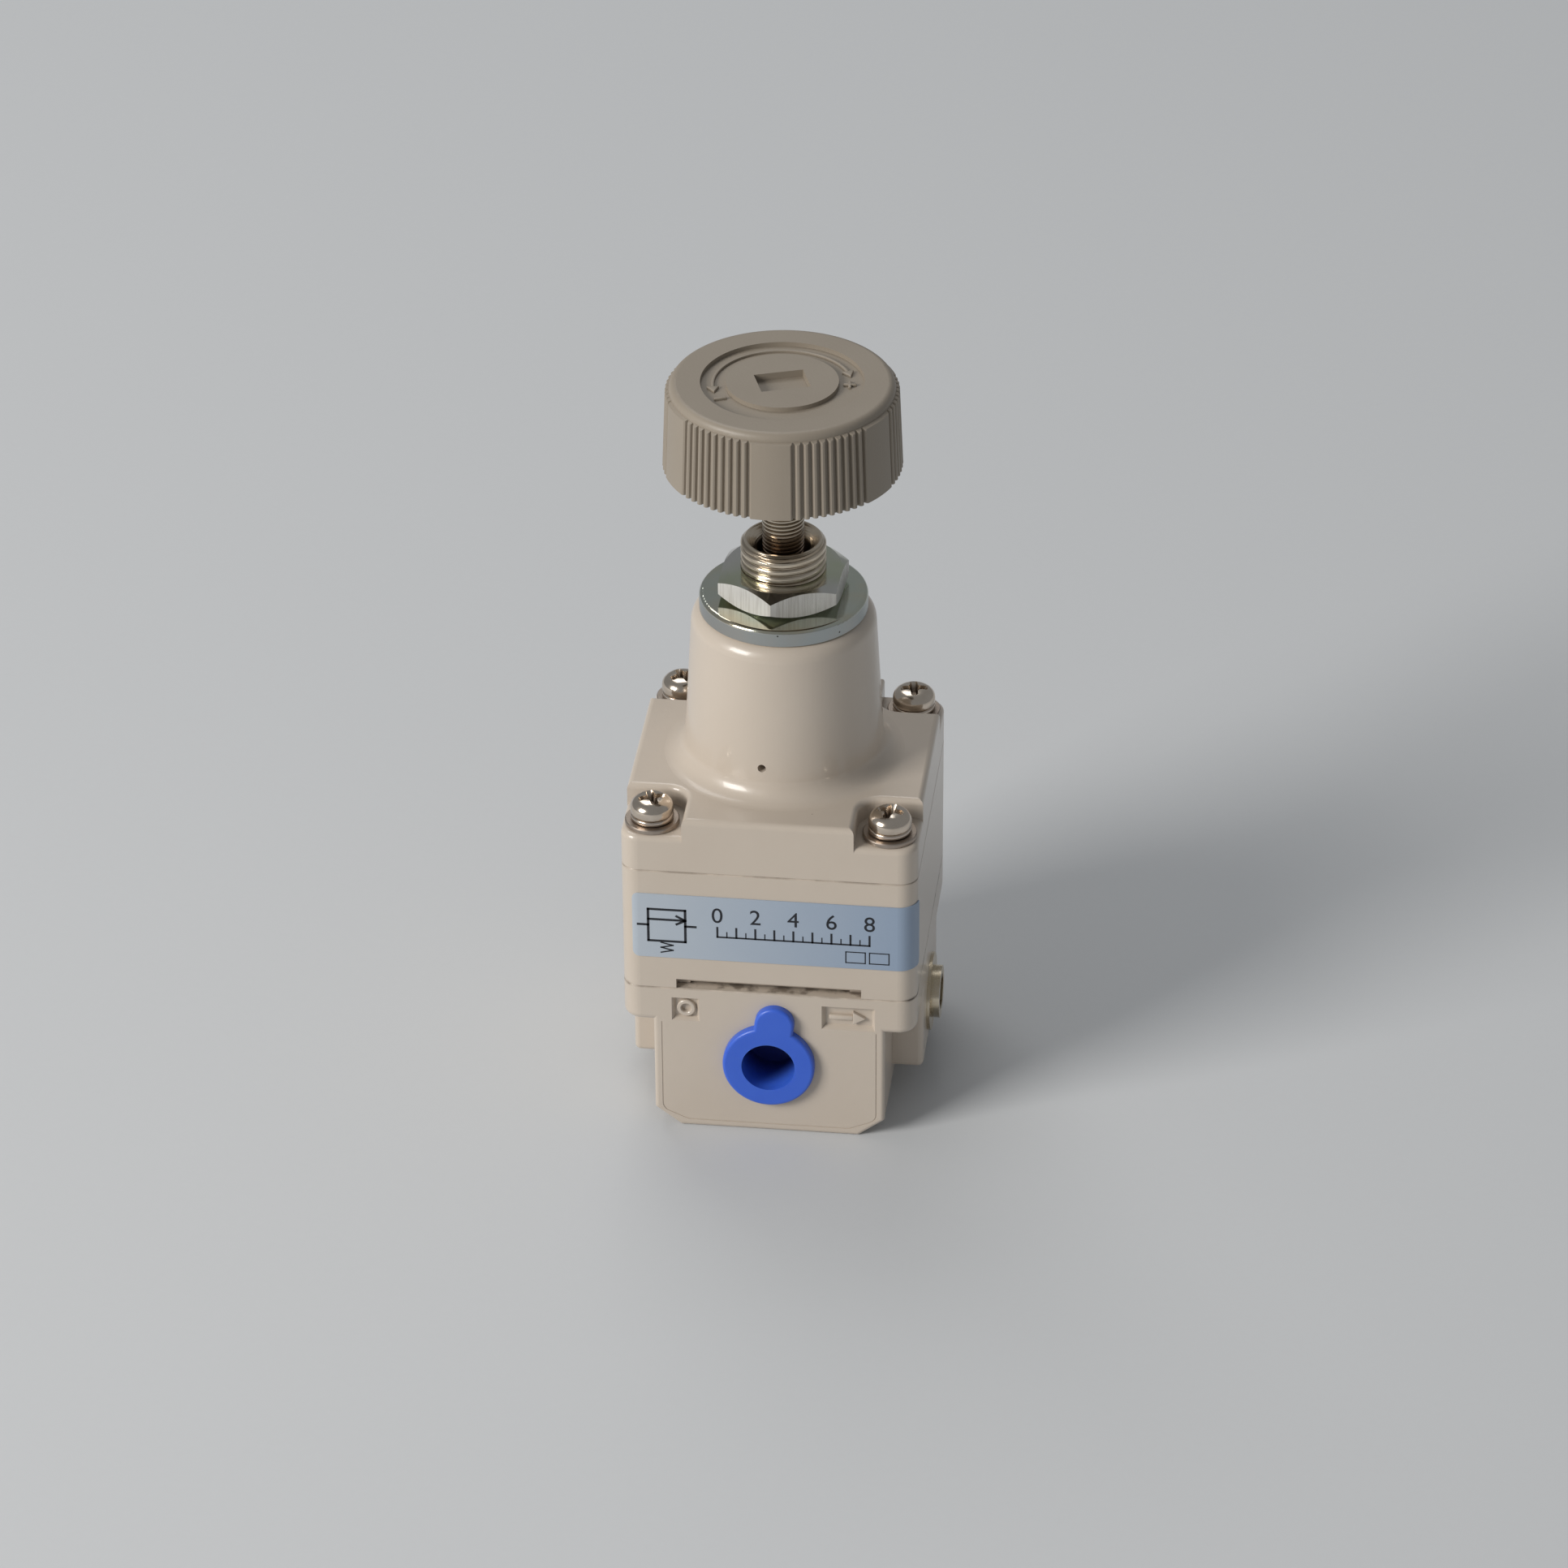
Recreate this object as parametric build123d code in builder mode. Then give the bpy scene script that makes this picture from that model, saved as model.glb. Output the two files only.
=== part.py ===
from build123d import *
import os
from math import atan2, cos, hypot, radians, sin, sqrt

os.makedirs("parts", exist_ok=True)

# Precision pressure regulator, nozzle and flapper type, in millimetres.
# +Z runs up the adjusting axis, -Y faces the outlet port, +Y the inlet port, and X the gauge ports.
# The origin is the middle of the flat underside.

# Castings: three square blocks bolted in a stack
body_width = 35.0
corner_radius = 2.2
seam_chamfer = 0.12
edge_round = 0.7
port_block_height = 14.8
flange_thickness = 4.8
exhaust_chamber_height = 5.0
pilot_chamber_height = 4.0
deck_thickness = 2.4
control_chamber_height = 4.3
block_height = 7.2
neck_height = 19.7

# Lower body: a port block from front to back, crossed by a narrower gauge block
port_block_width = 27.6
port_block_chamfer_x = 3.1
port_block_chamfer_z = 2.35
port_block_round = 0.5
gauge_block_width = 16.6
gauge_block_bottom = 4.1
flange_round = 0.9
port_height = 9.8
port_radius = 4.3
port_mouth = 0.35
port_depth = 9.0
gauge_port_depth = 8.0
mark_depth = 0.7
mark_draft = 30.0
mark_low = 15.1
mark_height = 3.2
mark_left = -11.6
mark_left_width = 3.3
mark_right = 6.3
mark_right_width = 6.35
die_line_inset = 1.0
die_line_round = 1.2
die_line_width = 0.14
die_line_depth = 0.07

# Exhaust slot in the middle body's front: a shallow recess with a thin slit behind it
slot_half_width = 11.0
slot_height = 1.35
slot_depth = 1.3
slit_half_width = 9.5
slit_height = 0.35

# Supply valve in the lower body
guide_radius = 6.0
guide_height = 5.0
guide_boss_height = 0.9
guide_ring_top = 0.5
guide_ring_width = 1.3
guide_ring_depth = 1.1
guide_ring_sides = 8
spanner_hole_radius = 0.7
spanner_hole_depth = 1.5
spanner_hole_place = 4.2
valve_chamber_radius = 4.5
valve_chamber_top = 11.0
seat_lip_height = 0.4
seat_lip_width = 0.55
seat_radius = 2.2
seat_thickness = 1.6
outlet_bore_radius = 4.0
outlet_cavity_depth = 4.0
inlet_passage_radius = 1.8
inlet_passage_height = 8.0
outlet_passage_radius = 1.6
gauge_passage_radius = 0.8
gauge_passage_inset = 1.5
valve_stem_radius = 0.9
valve_tail_radius = 1.5
valve_tail_depth = 2.4
valve_tail_room = 1.1
valve_lead = 0.3
valve_disc_radius = 3.4
valve_disc_thickness = 1.2
valve_seal_thickness = 1.0
valve_seal_radius = 3.2
valve_spigot_radius = 1.2
valve_spring_wire = 0.5
valve_spring_radius = 2.6
valve_spring_turns = 4.0

# Diaphragms and the relief stack between them
diaphragm_thickness = 0.6
diaphragm_wall = 3.1
diaphragm_clamp = 2.5
pilot_clamp = 2.4
pilot_step = 1.5
plate_annulus = 2.7
plate_thickness = 1.4
post_radius = 1.7
post_nose = 1.37
post_collar_radius = 3.0
post_collar_thickness = 1.0
post_lead = 0.4
thread_end = 0.4
relief_orifice_radius = 0.6
relief_hole_radius = 0.8
spacer_tube_radius = 3.2
spacer_flange_thickness = 1.0
pilot_plate_radius = 8.5
pilot_plate_thickness = 1.2
post_nut_flats = 5.5
post_nut_height = 1.6
clamp_ring_height = 2.0
clamp_slot_width = 1.6

# Nozzle, flapper and control plate
nozzle_radius = 2.0
nozzle_flange_radius = 3.0
nozzle_flange_thickness = 0.8
nozzle_tip_radius = 0.9
nozzle_gap = 0.25
nozzle_orifice_radius = 0.35
flapper_radius = 4.0
flapper_thickness = 0.95
stud_radius = 1.5
control_plate_radius = 8.6
control_plate_thickness = 1.5
control_boss_height = 1.2
stud_nut_height = 1.8
passage_offset = 2.0
passage_angle = 53.13
passage_radius = 1.25
link_radius = 0.6
jet_rise = 1.0
jet_length = 3.0
jet_bore_radius = 0.2

# Bonnet and its screws
pocket_size = 7.4
pocket_radius = 2.5
ledge_height = 4.7
neck_base_radius = 11.9
neck_top_radius = 10.8
neck_base_fillet = 2.5
neck_top_round = 2.0
neck_roof = 3.0
neck_wall = 1.8
bonnet_cavity_height = 2.7
bonnet_cavity_slope = 1.0
vent_radius = 0.5
vent_height = 4.1
vent_angle = -6.5
screw_inset = 3.5
screw_radius = 1.5
screw_hole_gap = 0.2
screw_tip_height = 15.8
screw_lead = 0.4
screw_hole_end = 0.4
screw_head_radius = 2.55
screw_head_height = 2.0
screw_head_rim = 0.7
screw_head_edge = 0.15
screw_recess_width = 0.75
screw_recess_span = 2.9
screw_recess_depth = 1.2
screw_recess_taper = 12.0
flat_washer_radius = 3.2
flat_washer_thickness = 0.6
spring_washer_thickness = 0.8
spring_washer_gap = 0.5

# Panel mounting parts on top of the neck
thread_radius = 5.0
thread_length = 9.0
thread_chamfer = 0.45
bushing_flange_rim = 1.8
bushing_flange_thickness = 1.4
mouth_depth = 1.2
counterbore_rim = 0.7
counterbore_depth = 5.0
washer_radius = 9.9
washer_thickness = 2.0
washer_round = 0.5
nut_wall = 2.0
nut_thickness = 3.3
nut_face_inset = 0.25
nut_chamfer = 1.0
nut_corner_angle = -4.3

# Adjusting screw, ball, setting spring and its upper seat
adjuster_radius = 2.45
knurl_rise = 0.45
knurl_length = 6.0
knurl_cover = 0.6
screw_end_chamfer = 0.5
knurl_chamfer = 0.3
ball_radius = 1.5
ball_seat_depth = 0.8
upper_seat_gap = 0.6
upper_seat_thickness = 1.6
upper_seat_spigot = 1.5
upper_seat_drop = 1.2
spring_wire = 1.5
spring_mean_radius = 7.0
spring_turns = 5.5
spring_wire_sides = 6

# Knob, backed off to the top of its travel
knob_gap = 10.0
knob_height = 10.6
knob_rim_radius = 13.9
knob_crest_radius = 13.5
knob_shoulder_radius = 13.05
knob_shoulder_height = 1.15
knob_shoulder_slope = 0.2
knob_top_round = 0.85
knob_wall = 1.9
knob_roof = 1.9
knob_hub_wall = 1.7
knob_hub_recess = 1.4
knob_rib_recess = 4.2
knob_rib_thickness = 1.0
knob_rib_count = 6
ring_outer_radius = 9.45
ring_inner_radius = 6.5
ring_depth = 0.55
socket_length = 5.8
socket_width = 4.2
socket_angle = 19.0
socket_depth = 0.9
groove_groups = 6
grooves_per_group = 10
groove_pitch = 4.2
groove_depth = 0.45
groove_floor_width = 0.24
groove_throat_width = 0.44
groove_throat_depth = 0.13
groove_mouth_width = 0.78
groove_phase = 1.0

# Outlet cap and gauge plugs
cap_flange_radius = 5.5
cap_flange_thickness = 1.1
cap_flange_round = 0.4
cap_wall = 1.0
cap_tube_length = 6.0
cap_tab_width = 4.7
cap_tab_reach = 8.3
cap_tab_angle = -7.0
plug_length = 6.0
plug_flange_rim = 0.5
plug_flange_thickness = 0.4
plug_boss_radius = 3.2
plug_boss_thickness = 1.0
plug_socket_flats = 4.0
plug_socket_depth = 3.0
plug_groove_width = 1.0
plug_groove_inset = 0.2
plug_groove_depth = 0.7

# Label
label_thickness = 0.12
label_low = 4.4
label_height = 8.8
label_left_wrap = 0.8
label_right_wrap = 2.6
label_corner = 0.8

# Fits, and how far a cut or a joined block runs past its face
press_gap = 0.01
seat_gap = 0.02
running_gap = 0.05
loose_gap = 0.1
spigot_gap = 0.4
margin = 1.0

# Levels worked out from the sizes above
half = body_width / 2
seam_low = port_block_height + flange_thickness
pilot_shoulder = seam_low + exhaust_chamber_height + diaphragm_thickness
deck_bottom = pilot_shoulder + pilot_chamber_height
deck_top = deck_bottom + deck_thickness
seam_high = deck_top + control_chamber_height
ledge_top = seam_high + ledge_height
block_top = seam_high + block_height
neck_top = block_top + neck_height
roof_underside = neck_top - neck_roof
thread_top = neck_top + thread_length
knob_rim = thread_top + knob_gap
knob_top = knob_rim + knob_height

# Radii that follow the screws at the corners
screw_place = half - screw_inset
screw_hole_radius = screw_radius + screw_hole_gap
diaphragm_radius = hypot(screw_place, screw_place) - screw_hole_radius - diaphragm_wall
chamber_radius = diaphragm_radius - diaphragm_clamp
pilot_bore_radius = diaphragm_radius - pilot_step
pilot_chamber_radius = pilot_bore_radius - pilot_clamp
main_plate_radius = chamber_radius - plate_annulus
passage_x = (diaphragm_radius + passage_offset) * cos(radians(passage_angle))
passage_y = (diaphragm_radius + passage_offset) * sin(radians(passage_angle))

# Radii of what turns, slides or seats inside another piece
spring_bore_radius = neck_top_radius - neck_wall
upper_seat_radius = spring_bore_radius - upper_seat_gap
counterbore_radius = adjuster_radius + counterbore_rim
mouth_radius = counterbore_radius + mouth_depth
knurl_radius = adjuster_radius + knurl_rise
knob_hub_radius = knurl_radius + knob_hub_wall
nut_flats = 2 * (thread_radius + nut_wall)
cap_tube_radius = port_radius - loose_gap
plug_thread_radius = port_radius - running_gap
plug_groove_radius = plug_thread_radius - plug_groove_depth

# Lower body casting
out_face = Plane(origin=(0, -half, port_height), x_dir=(1, 0, 0), z_dir=(0, -1, 0))
in_face = Plane(origin=(0, half, port_height), x_dir=(-1, 0, 0), z_dir=(0, 1, 0))
right_face = Plane(origin=(half, 0, port_height), x_dir=(0, 1, 0), z_dir=(1, 0, 0))
left_face = Plane(origin=(-half, 0, port_height), x_dir=(0, -1, 0), z_dir=(-1, 0, 0))
seat_lip_bottom = valve_chamber_top - seat_lip_height
outlet_bore_bottom = seat_lip_bottom + seat_thickness
cavity_floor = seam_low - outlet_cavity_depth
main_recess = seam_low - diaphragm_thickness

with BuildPart() as port_block:
    with BuildSketch(Plane.XZ.offset(-half)):
        with BuildLine():
            side = port_block_width / 2
            Polyline(
                (-side + port_block_chamfer_x, 0),
                (side - port_block_chamfer_x, 0),
                (side, port_block_chamfer_z),
                (side, port_block_height + flange_thickness / 2),
                (-side, port_block_height + flange_thickness / 2),
                (-side, port_block_chamfer_z),
                close=True,
            )
        make_face()
    extrude(amount=body_width)
    fillet(port_block.edges(), port_block_round)

with BuildPart() as gauge_block:
    with BuildSketch(Plane.XY.offset(gauge_block_bottom)):
        Rectangle(body_width, gauge_block_width)
    extrude(amount=port_block_height + flange_thickness / 2 - gauge_block_bottom)
    fillet(gauge_block.edges(), edge_round)

with BuildPart() as lower_body:
    with BuildSketch(Plane.XY.offset(port_block_height)):
        RectangleRounded(body_width, body_width, corner_radius)
    extrude(amount=flange_thickness)
    fillet(lower_body.faces().sort_by(Axis.Z)[0].edges(), flange_round)
    chamfer(lower_body.faces().sort_by(Axis.Z)[-1].edges(), seam_chamfer)
    add(port_block.part)
    add(gauge_block.part)
    with BuildSketch(Plane.XZ):
        with BuildLine():
            Polyline(
                (0, 0),
                (guide_radius, 0),
                (guide_radius, guide_height),
                (valve_chamber_radius, guide_height),
                (valve_chamber_radius, valve_chamber_top),
                (seat_radius + seat_lip_width, valve_chamber_top),
                (seat_radius + seat_lip_width, seat_lip_bottom),
                (seat_radius, seat_lip_bottom),
                (seat_radius, outlet_bore_bottom),
                (outlet_bore_radius, outlet_bore_bottom),
                (outlet_bore_radius, cavity_floor),
                (chamber_radius, cavity_floor),
                (chamber_radius, main_recess),
                (diaphragm_radius + running_gap, main_recess),
                (diaphragm_radius + running_gap, seam_low),
                (0, seam_low),
                close=True,
            )
        make_face()
    revolve(axis=Axis.Z, mode=Mode.SUBTRACT)
    with Locations(out_face, in_face):
        CounterSinkHole(port_radius, port_radius + port_mouth, depth=port_depth, counter_sink_angle=90)
    with Locations(right_face, left_face):
        CounterSinkHole(port_radius, port_radius + port_mouth, depth=gauge_port_depth, counter_sink_angle=90)
    # Inlet passage to the valve chamber
    with BuildSketch(Plane.XZ.offset(-half + port_depth - margin)):
        with Locations((0, inlet_passage_height)):
            Circle(inlet_passage_radius)
    extrude(amount=half - port_depth + margin, mode=Mode.SUBTRACT)
    # Outlet and gauge passages drop from the outlet cavity into their ports
    with BuildSketch(Plane.XY.offset(port_height)):
        with Locations((0, -half + port_depth - 2 * outlet_passage_radius)):
            Circle(outlet_passage_radius)
        gauge_passage_place = half - gauge_port_depth + gauge_passage_inset
        with Locations((gauge_passage_place, 0), (-gauge_passage_place, 0)):
            Circle(gauge_passage_radius)
    extrude(amount=cavity_floor - port_height + margin, mode=Mode.SUBTRACT)
    # Slanted supply passage from the inlet port to the jet, and the feedback passage
    supply_slope = Vector(-passage_x + port_radius / 2, 0, port_height + port_radius / 2 - seam_low)
    with BuildSketch(Plane(origin=(passage_x, passage_y, seam_low), z_dir=supply_slope)):
        Circle(link_radius)
    extrude(amount=supply_slope.length, both=True, mode=Mode.SUBTRACT)
    feedback_point = Vector(-passage_x, -passage_y, (cavity_floor + main_recess) / 2)
    feedback_run = Vector(passage_x, passage_y, 0)
    with BuildSketch(Plane(origin=feedback_point, z_dir=feedback_run)):
        Circle(link_radius)
    extrude(amount=hypot(passage_x, passage_y) - chamber_radius + margin, mode=Mode.SUBTRACT)
    with BuildSketch(Plane.XY.offset(feedback_point.Z)):
        with Locations((-passage_x, -passage_y)):
            Circle(link_radius)
    extrude(amount=seam_low - feedback_point.Z, mode=Mode.SUBTRACT)
    # Tapped holes for the four long screws
    with Locations((0, 0, seam_low)):
        with GridLocations(2 * screw_place, 2 * screw_place, 2, 2):
            Hole(screw_radius + seat_gap, depth=seam_low - screw_tip_height + screw_hole_end)
    # Sunk fields for the marks on the outlet face, with drafted walls
    with BuildSketch(Plane.XZ.offset(half)):
        with Locations((mark_left, mark_low)):
            Rectangle(mark_left_width, mark_height, align=(Align.MIN, Align.MIN))
        with Locations((mark_right, mark_low)):
            Rectangle(mark_right_width, mark_height, align=(Align.MIN, Align.MIN))
    extrude(amount=-mark_depth, taper=mark_draft, mode=Mode.SUBTRACT)
    # Fine line that the edge of the die insert left round the outlet face
    die_side = port_block_width / 2 - die_line_inset
    with BuildSketch(Plane.XZ.offset(half)):
        with BuildLine():
            FilletPolyline(
                (-die_side, port_block_height),
                (-die_side, port_block_chamfer_z),
                (-die_side + port_block_chamfer_x, die_line_inset),
                (die_side - port_block_chamfer_x, die_line_inset),
                (die_side, port_block_chamfer_z),
                (die_side, port_block_height),
                radius=die_line_round,
            )
        trace(line_width=die_line_width)
    extrude(amount=-die_line_depth, mode=Mode.SUBTRACT)
lower_body.part.label = "lower_body"
export_step(lower_body.part, "parts/lower_body.step")

# Middle body casting, with the exhaust slot at the front and the deck that carries the nozzle
with BuildPart() as middle_body:
    with BuildSketch(Plane.XY.offset(seam_low)):
        RectangleRounded(body_width, body_width, corner_radius)
    extrude(amount=seam_high - seam_low)
    chamfer(middle_body.faces().sort_by(Axis.Z)[0].edges(), seam_chamfer)
    chamfer(middle_body.faces().sort_by(Axis.Z)[-1].edges(), seam_chamfer)
    with BuildSketch(Plane.XZ):
        with BuildLine():
            Polyline(
                (0, seam_low),
                (pilot_bore_radius, seam_low),
                (pilot_bore_radius, pilot_shoulder),
                (pilot_chamber_radius, pilot_shoulder),
                (pilot_chamber_radius, deck_bottom),
                (nozzle_radius + press_gap, deck_bottom),
                (nozzle_radius + press_gap, deck_top),
                (chamber_radius, deck_top),
                (chamber_radius, seam_high - diaphragm_thickness),
                (diaphragm_radius + running_gap, seam_high - diaphragm_thickness),
                (diaphragm_radius + running_gap, seam_high),
                (0, seam_high),
                close=True,
            )
        make_face()
    revolve(axis=Axis.Z, mode=Mode.SUBTRACT)
    with BuildSketch(Plane.XY.offset(seam_low)):
        with Locations((0, -half)):
            Rectangle(2 * slot_half_width, slot_depth, align=(Align.CENTER, Align.MIN))
    extrude(amount=slot_height, mode=Mode.SUBTRACT)
    with BuildSketch(Plane.XY.offset(seam_low)):
        with Locations((0, -half)):
            Rectangle(2 * slit_half_width, half, align=(Align.CENTER, Align.MIN))
    extrude(amount=slit_height, mode=Mode.SUBTRACT)
    with Locations((0, 0, seam_high)):
        with GridLocations(2 * screw_place, 2 * screw_place, 2, 2):
            Hole(screw_hole_radius, depth=seam_high - seam_low)
    # Supply passage with the jet, and the feedback passage to the control chamber
    supply_top = deck_bottom - pilot_chamber_height / 2
    with BuildSketch(Plane.XY.offset(seam_low)):
        with Locations((passage_x, passage_y)):
            Circle(passage_radius)
    extrude(amount=supply_top - seam_low, mode=Mode.SUBTRACT)
    supply_turn = Vector(passage_x, passage_y, supply_top - passage_radius)
    with BuildSketch(Plane(origin=supply_turn, z_dir=(-passage_x, -passage_y, 0))):
        Circle(link_radius)
    extrude(amount=hypot(passage_x, passage_y) - pilot_chamber_radius + margin, mode=Mode.SUBTRACT)
    feedback_top = deck_top + control_chamber_height / 2
    with BuildSketch(Plane.XY.offset(seam_low)):
        with Locations((-passage_x, -passage_y)):
            Circle(link_radius)
    extrude(amount=feedback_top - seam_low, mode=Mode.SUBTRACT)
    with BuildSketch(Plane(origin=(-passage_x, -passage_y, feedback_top), z_dir=(passage_x, passage_y, 0))):
        Circle(link_radius)
    extrude(amount=hypot(passage_x, passage_y) - chamber_radius + margin, mode=Mode.SUBTRACT)
middle_body.part.label = "middle_body"
export_step(middle_body.part, "parts/middle_body.step")

# Bonnet casting: a square block with four screw pockets, filleted into the tapered neck
bonnet_fillet = min(neck_base_fillet, half - neck_base_radius - edge_round)
with BuildPart() as bonnet:
    with BuildSketch(Plane.XY.offset(seam_high)):
        RectangleRounded(body_width, body_width, corner_radius)
    extrude(amount=block_height)
    with BuildSketch(Plane.XY.offset(ledge_top)):
        with GridLocations(body_width, body_width, 2, 2):
            RectangleRounded(2 * pocket_size, 2 * pocket_size, pocket_radius)
    extrude(amount=block_height, mode=Mode.SUBTRACT)
    chamfer(bonnet.faces().sort_by(Axis.Z)[0].edges(), seam_chamfer)
    ledge_edges = bonnet.edges().filter_by(lambda e: abs(e.center().Z - ledge_top) < 0.01)
    rim = half - corner_radius
    fillet(ledge_edges.filter_by(lambda e: max(abs(e.center().X), abs(e.center().Y)) > rim), edge_round)
    fillet(bonnet.faces().sort_by(Axis.Z)[-1].edges(), edge_round)
    with BuildSketch(Plane.XZ):
        with BuildLine():
            Polyline(
                (0, block_top - margin),
                (neck_base_radius, block_top - margin),
                (neck_base_radius, block_top),
                (neck_top_radius, neck_top),
                (0, neck_top),
                close=True,
            )
        make_face()
    revolve(axis=Axis.Z)
    rings = bonnet.edges().filter_by(GeomType.CIRCLE)
    fillet(rings.filter_by(lambda e: abs(e.center().Z - neck_top) < 0.01), neck_top_round)
    neck_foot = rings.filter_by(lambda e: abs(e.center().Z - block_top) < 0.01)
    fillet(neck_foot.filter_by(lambda e: abs(e.radius - neck_base_radius) < 0.01), bonnet_fillet)
    with BuildSketch(Plane.XZ):
        with BuildLine():
            cavity_top = seam_high + bonnet_cavity_height
            Polyline(
                (0, seam_high),
                (chamber_radius, seam_high),
                (chamber_radius, cavity_top),
                (spring_bore_radius, cavity_top + bonnet_cavity_slope),
                (spring_bore_radius, roof_underside),
                (thread_radius + press_gap, roof_underside),
                (thread_radius + press_gap, neck_top),
                (0, neck_top),
                close=True,
            )
        make_face()
    revolve(axis=Axis.Z, mode=Mode.SUBTRACT)
    with Locations((0, 0, ledge_top)):
        with GridLocations(2 * screw_place, 2 * screw_place, 2, 2):
            Hole(screw_hole_radius, depth=ledge_height)
    vent_direction = Vector(sin(radians(vent_angle)), -cos(radians(vent_angle)), 0)
    with BuildSketch(Plane(origin=(0, 0, block_top + vent_height), z_dir=vent_direction)):
        Circle(vent_radius)
    extrude(amount=neck_base_radius + margin, mode=Mode.SUBTRACT)
bonnet.part.label = "bonnet"
export_step(bonnet.part, "parts/bonnet.step")

# Panel bushing: threaded outside for the panel nut and inside for the adjusting screw
bushing_low = roof_underside - bushing_flange_thickness
with BuildPart() as panel_bushing:
    with BuildSketch(Plane.XZ):
        with BuildLine():
            Polyline(
                (adjuster_radius + running_gap, bushing_low),
                (thread_radius + bushing_flange_rim, bushing_low),
                (thread_radius + bushing_flange_rim, roof_underside),
                (thread_radius, roof_underside),
                (thread_radius, thread_top - thread_chamfer),
                (thread_radius - thread_chamfer, thread_top),
                (mouth_radius, thread_top),
                (counterbore_radius, thread_top - mouth_depth),
                (counterbore_radius, thread_top - counterbore_depth),
                (adjuster_radius + running_gap, thread_top - counterbore_depth),
                close=True,
            )
        make_face()
    revolve(axis=Axis.Z)
panel_bushing.part.label = "panel_bushing"
export_step(panel_bushing.part, "parts/panel_bushing.step")

# Panel washer, stamped, with a rolled upper edge
with BuildPart() as panel_washer:
    with BuildSketch(Plane.XY.offset(neck_top)):
        Circle(washer_radius)
        Circle(thread_radius + loose_gap, mode=Mode.SUBTRACT)
    extrude(amount=washer_thickness)
    washer_rim = panel_washer.edges().filter_by(GeomType.CIRCLE).group_by(SortBy.RADIUS)[-1].sort_by(Axis.Z)
    fillet(washer_rim[-1], washer_round)
panel_washer.part.label = "panel_washer"
export_step(panel_washer.part, "parts/panel_washer.step")

# Panel nut: a hexagon chamfered on both faces
nut_low = neck_top + washer_thickness
nut_top = nut_low + nut_thickness
nut_corner_radius = nut_flats / sqrt(3)
nut_face_radius = nut_flats / 2 - nut_face_inset
with BuildPart() as panel_nut:
    with BuildSketch(Plane.XY.offset(nut_low)):
        RegularPolygon(nut_flats / 2, 6, major_radius=False, rotation=nut_corner_angle - 90)
        Circle(thread_radius + seat_gap, mode=Mode.SUBTRACT)
    extrude(amount=nut_thickness)
    with BuildSketch(Plane.XZ):
        with BuildLine():
            Polyline(
                (0, nut_low),
                (nut_face_radius, nut_low),
                (nut_corner_radius + loose_gap, nut_low + nut_chamfer),
                (nut_corner_radius + loose_gap, nut_top - nut_chamfer),
                (nut_face_radius, nut_top),
                (0, nut_top),
                close=True,
            )
        make_face()
    revolve(axis=Axis.Z, mode=Mode.INTERSECT)
panel_nut.part.label = "panel_nut"
export_step(panel_nut.part, "parts/panel_nut.step")

# Upper spring seat, carried by the ball under the adjusting screw
upper_seat_top = bushing_low - upper_seat_drop
upper_seat_bottom = upper_seat_top - upper_seat_thickness
ball_centre = upper_seat_top - ball_seat_depth + ball_radius
spring_spigot_radius = spring_mean_radius - spring_wire / 2 - spigot_gap
with BuildPart() as upper_spring_seat:
    with BuildSketch(Plane.XZ):
        with BuildLine():
            Polyline(
                (0, upper_seat_bottom - upper_seat_spigot),
                (spring_spigot_radius, upper_seat_bottom - upper_seat_spigot),
                (spring_spigot_radius, upper_seat_bottom),
                (upper_seat_radius, upper_seat_bottom),
                (upper_seat_radius, upper_seat_top),
                (0, upper_seat_top),
                close=True,
            )
        make_face()
    revolve(axis=Axis.Z)
    with Locations((0, 0, ball_centre)):
        Sphere(ball_radius + seat_gap, mode=Mode.SUBTRACT)
upper_spring_seat.part.label = "upper_spring_seat"
export_step(upper_spring_seat.part, "parts/upper_spring_seat.step")

with BuildPart() as thrust_ball:
    with Locations((0, 0, ball_centre)):
        Sphere(ball_radius)
thrust_ball.part.label = "thrust_ball"
export_step(thrust_ball.part, "parts/thrust_ball.step")

# Adjusting screw, pressed into the knob by its knurled end
screw_low = ball_centre + ball_radius + seat_gap
knurl_low = knob_rim + knob_hub_recess + knurl_cover
knurl_top = knurl_low + knurl_length
with BuildPart() as adjusting_screw:
    with BuildSketch(Plane.XZ):
        with BuildLine():
            Polyline(
                (0, screw_low),
                (adjuster_radius - screw_end_chamfer, screw_low),
                (adjuster_radius, screw_low + screw_end_chamfer),
                (adjuster_radius, knurl_low),
                (knurl_radius, knurl_low),
                (knurl_radius, knurl_top - knurl_chamfer),
                (knurl_radius - knurl_chamfer, knurl_top),
                (0, knurl_top),
                close=True,
            )
        make_face()
    revolve(axis=Axis.Z)
adjusting_screw.part.label = "adjusting_screw"
export_step(adjusting_screw.part, "parts/adjusting_screw.step")

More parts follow.
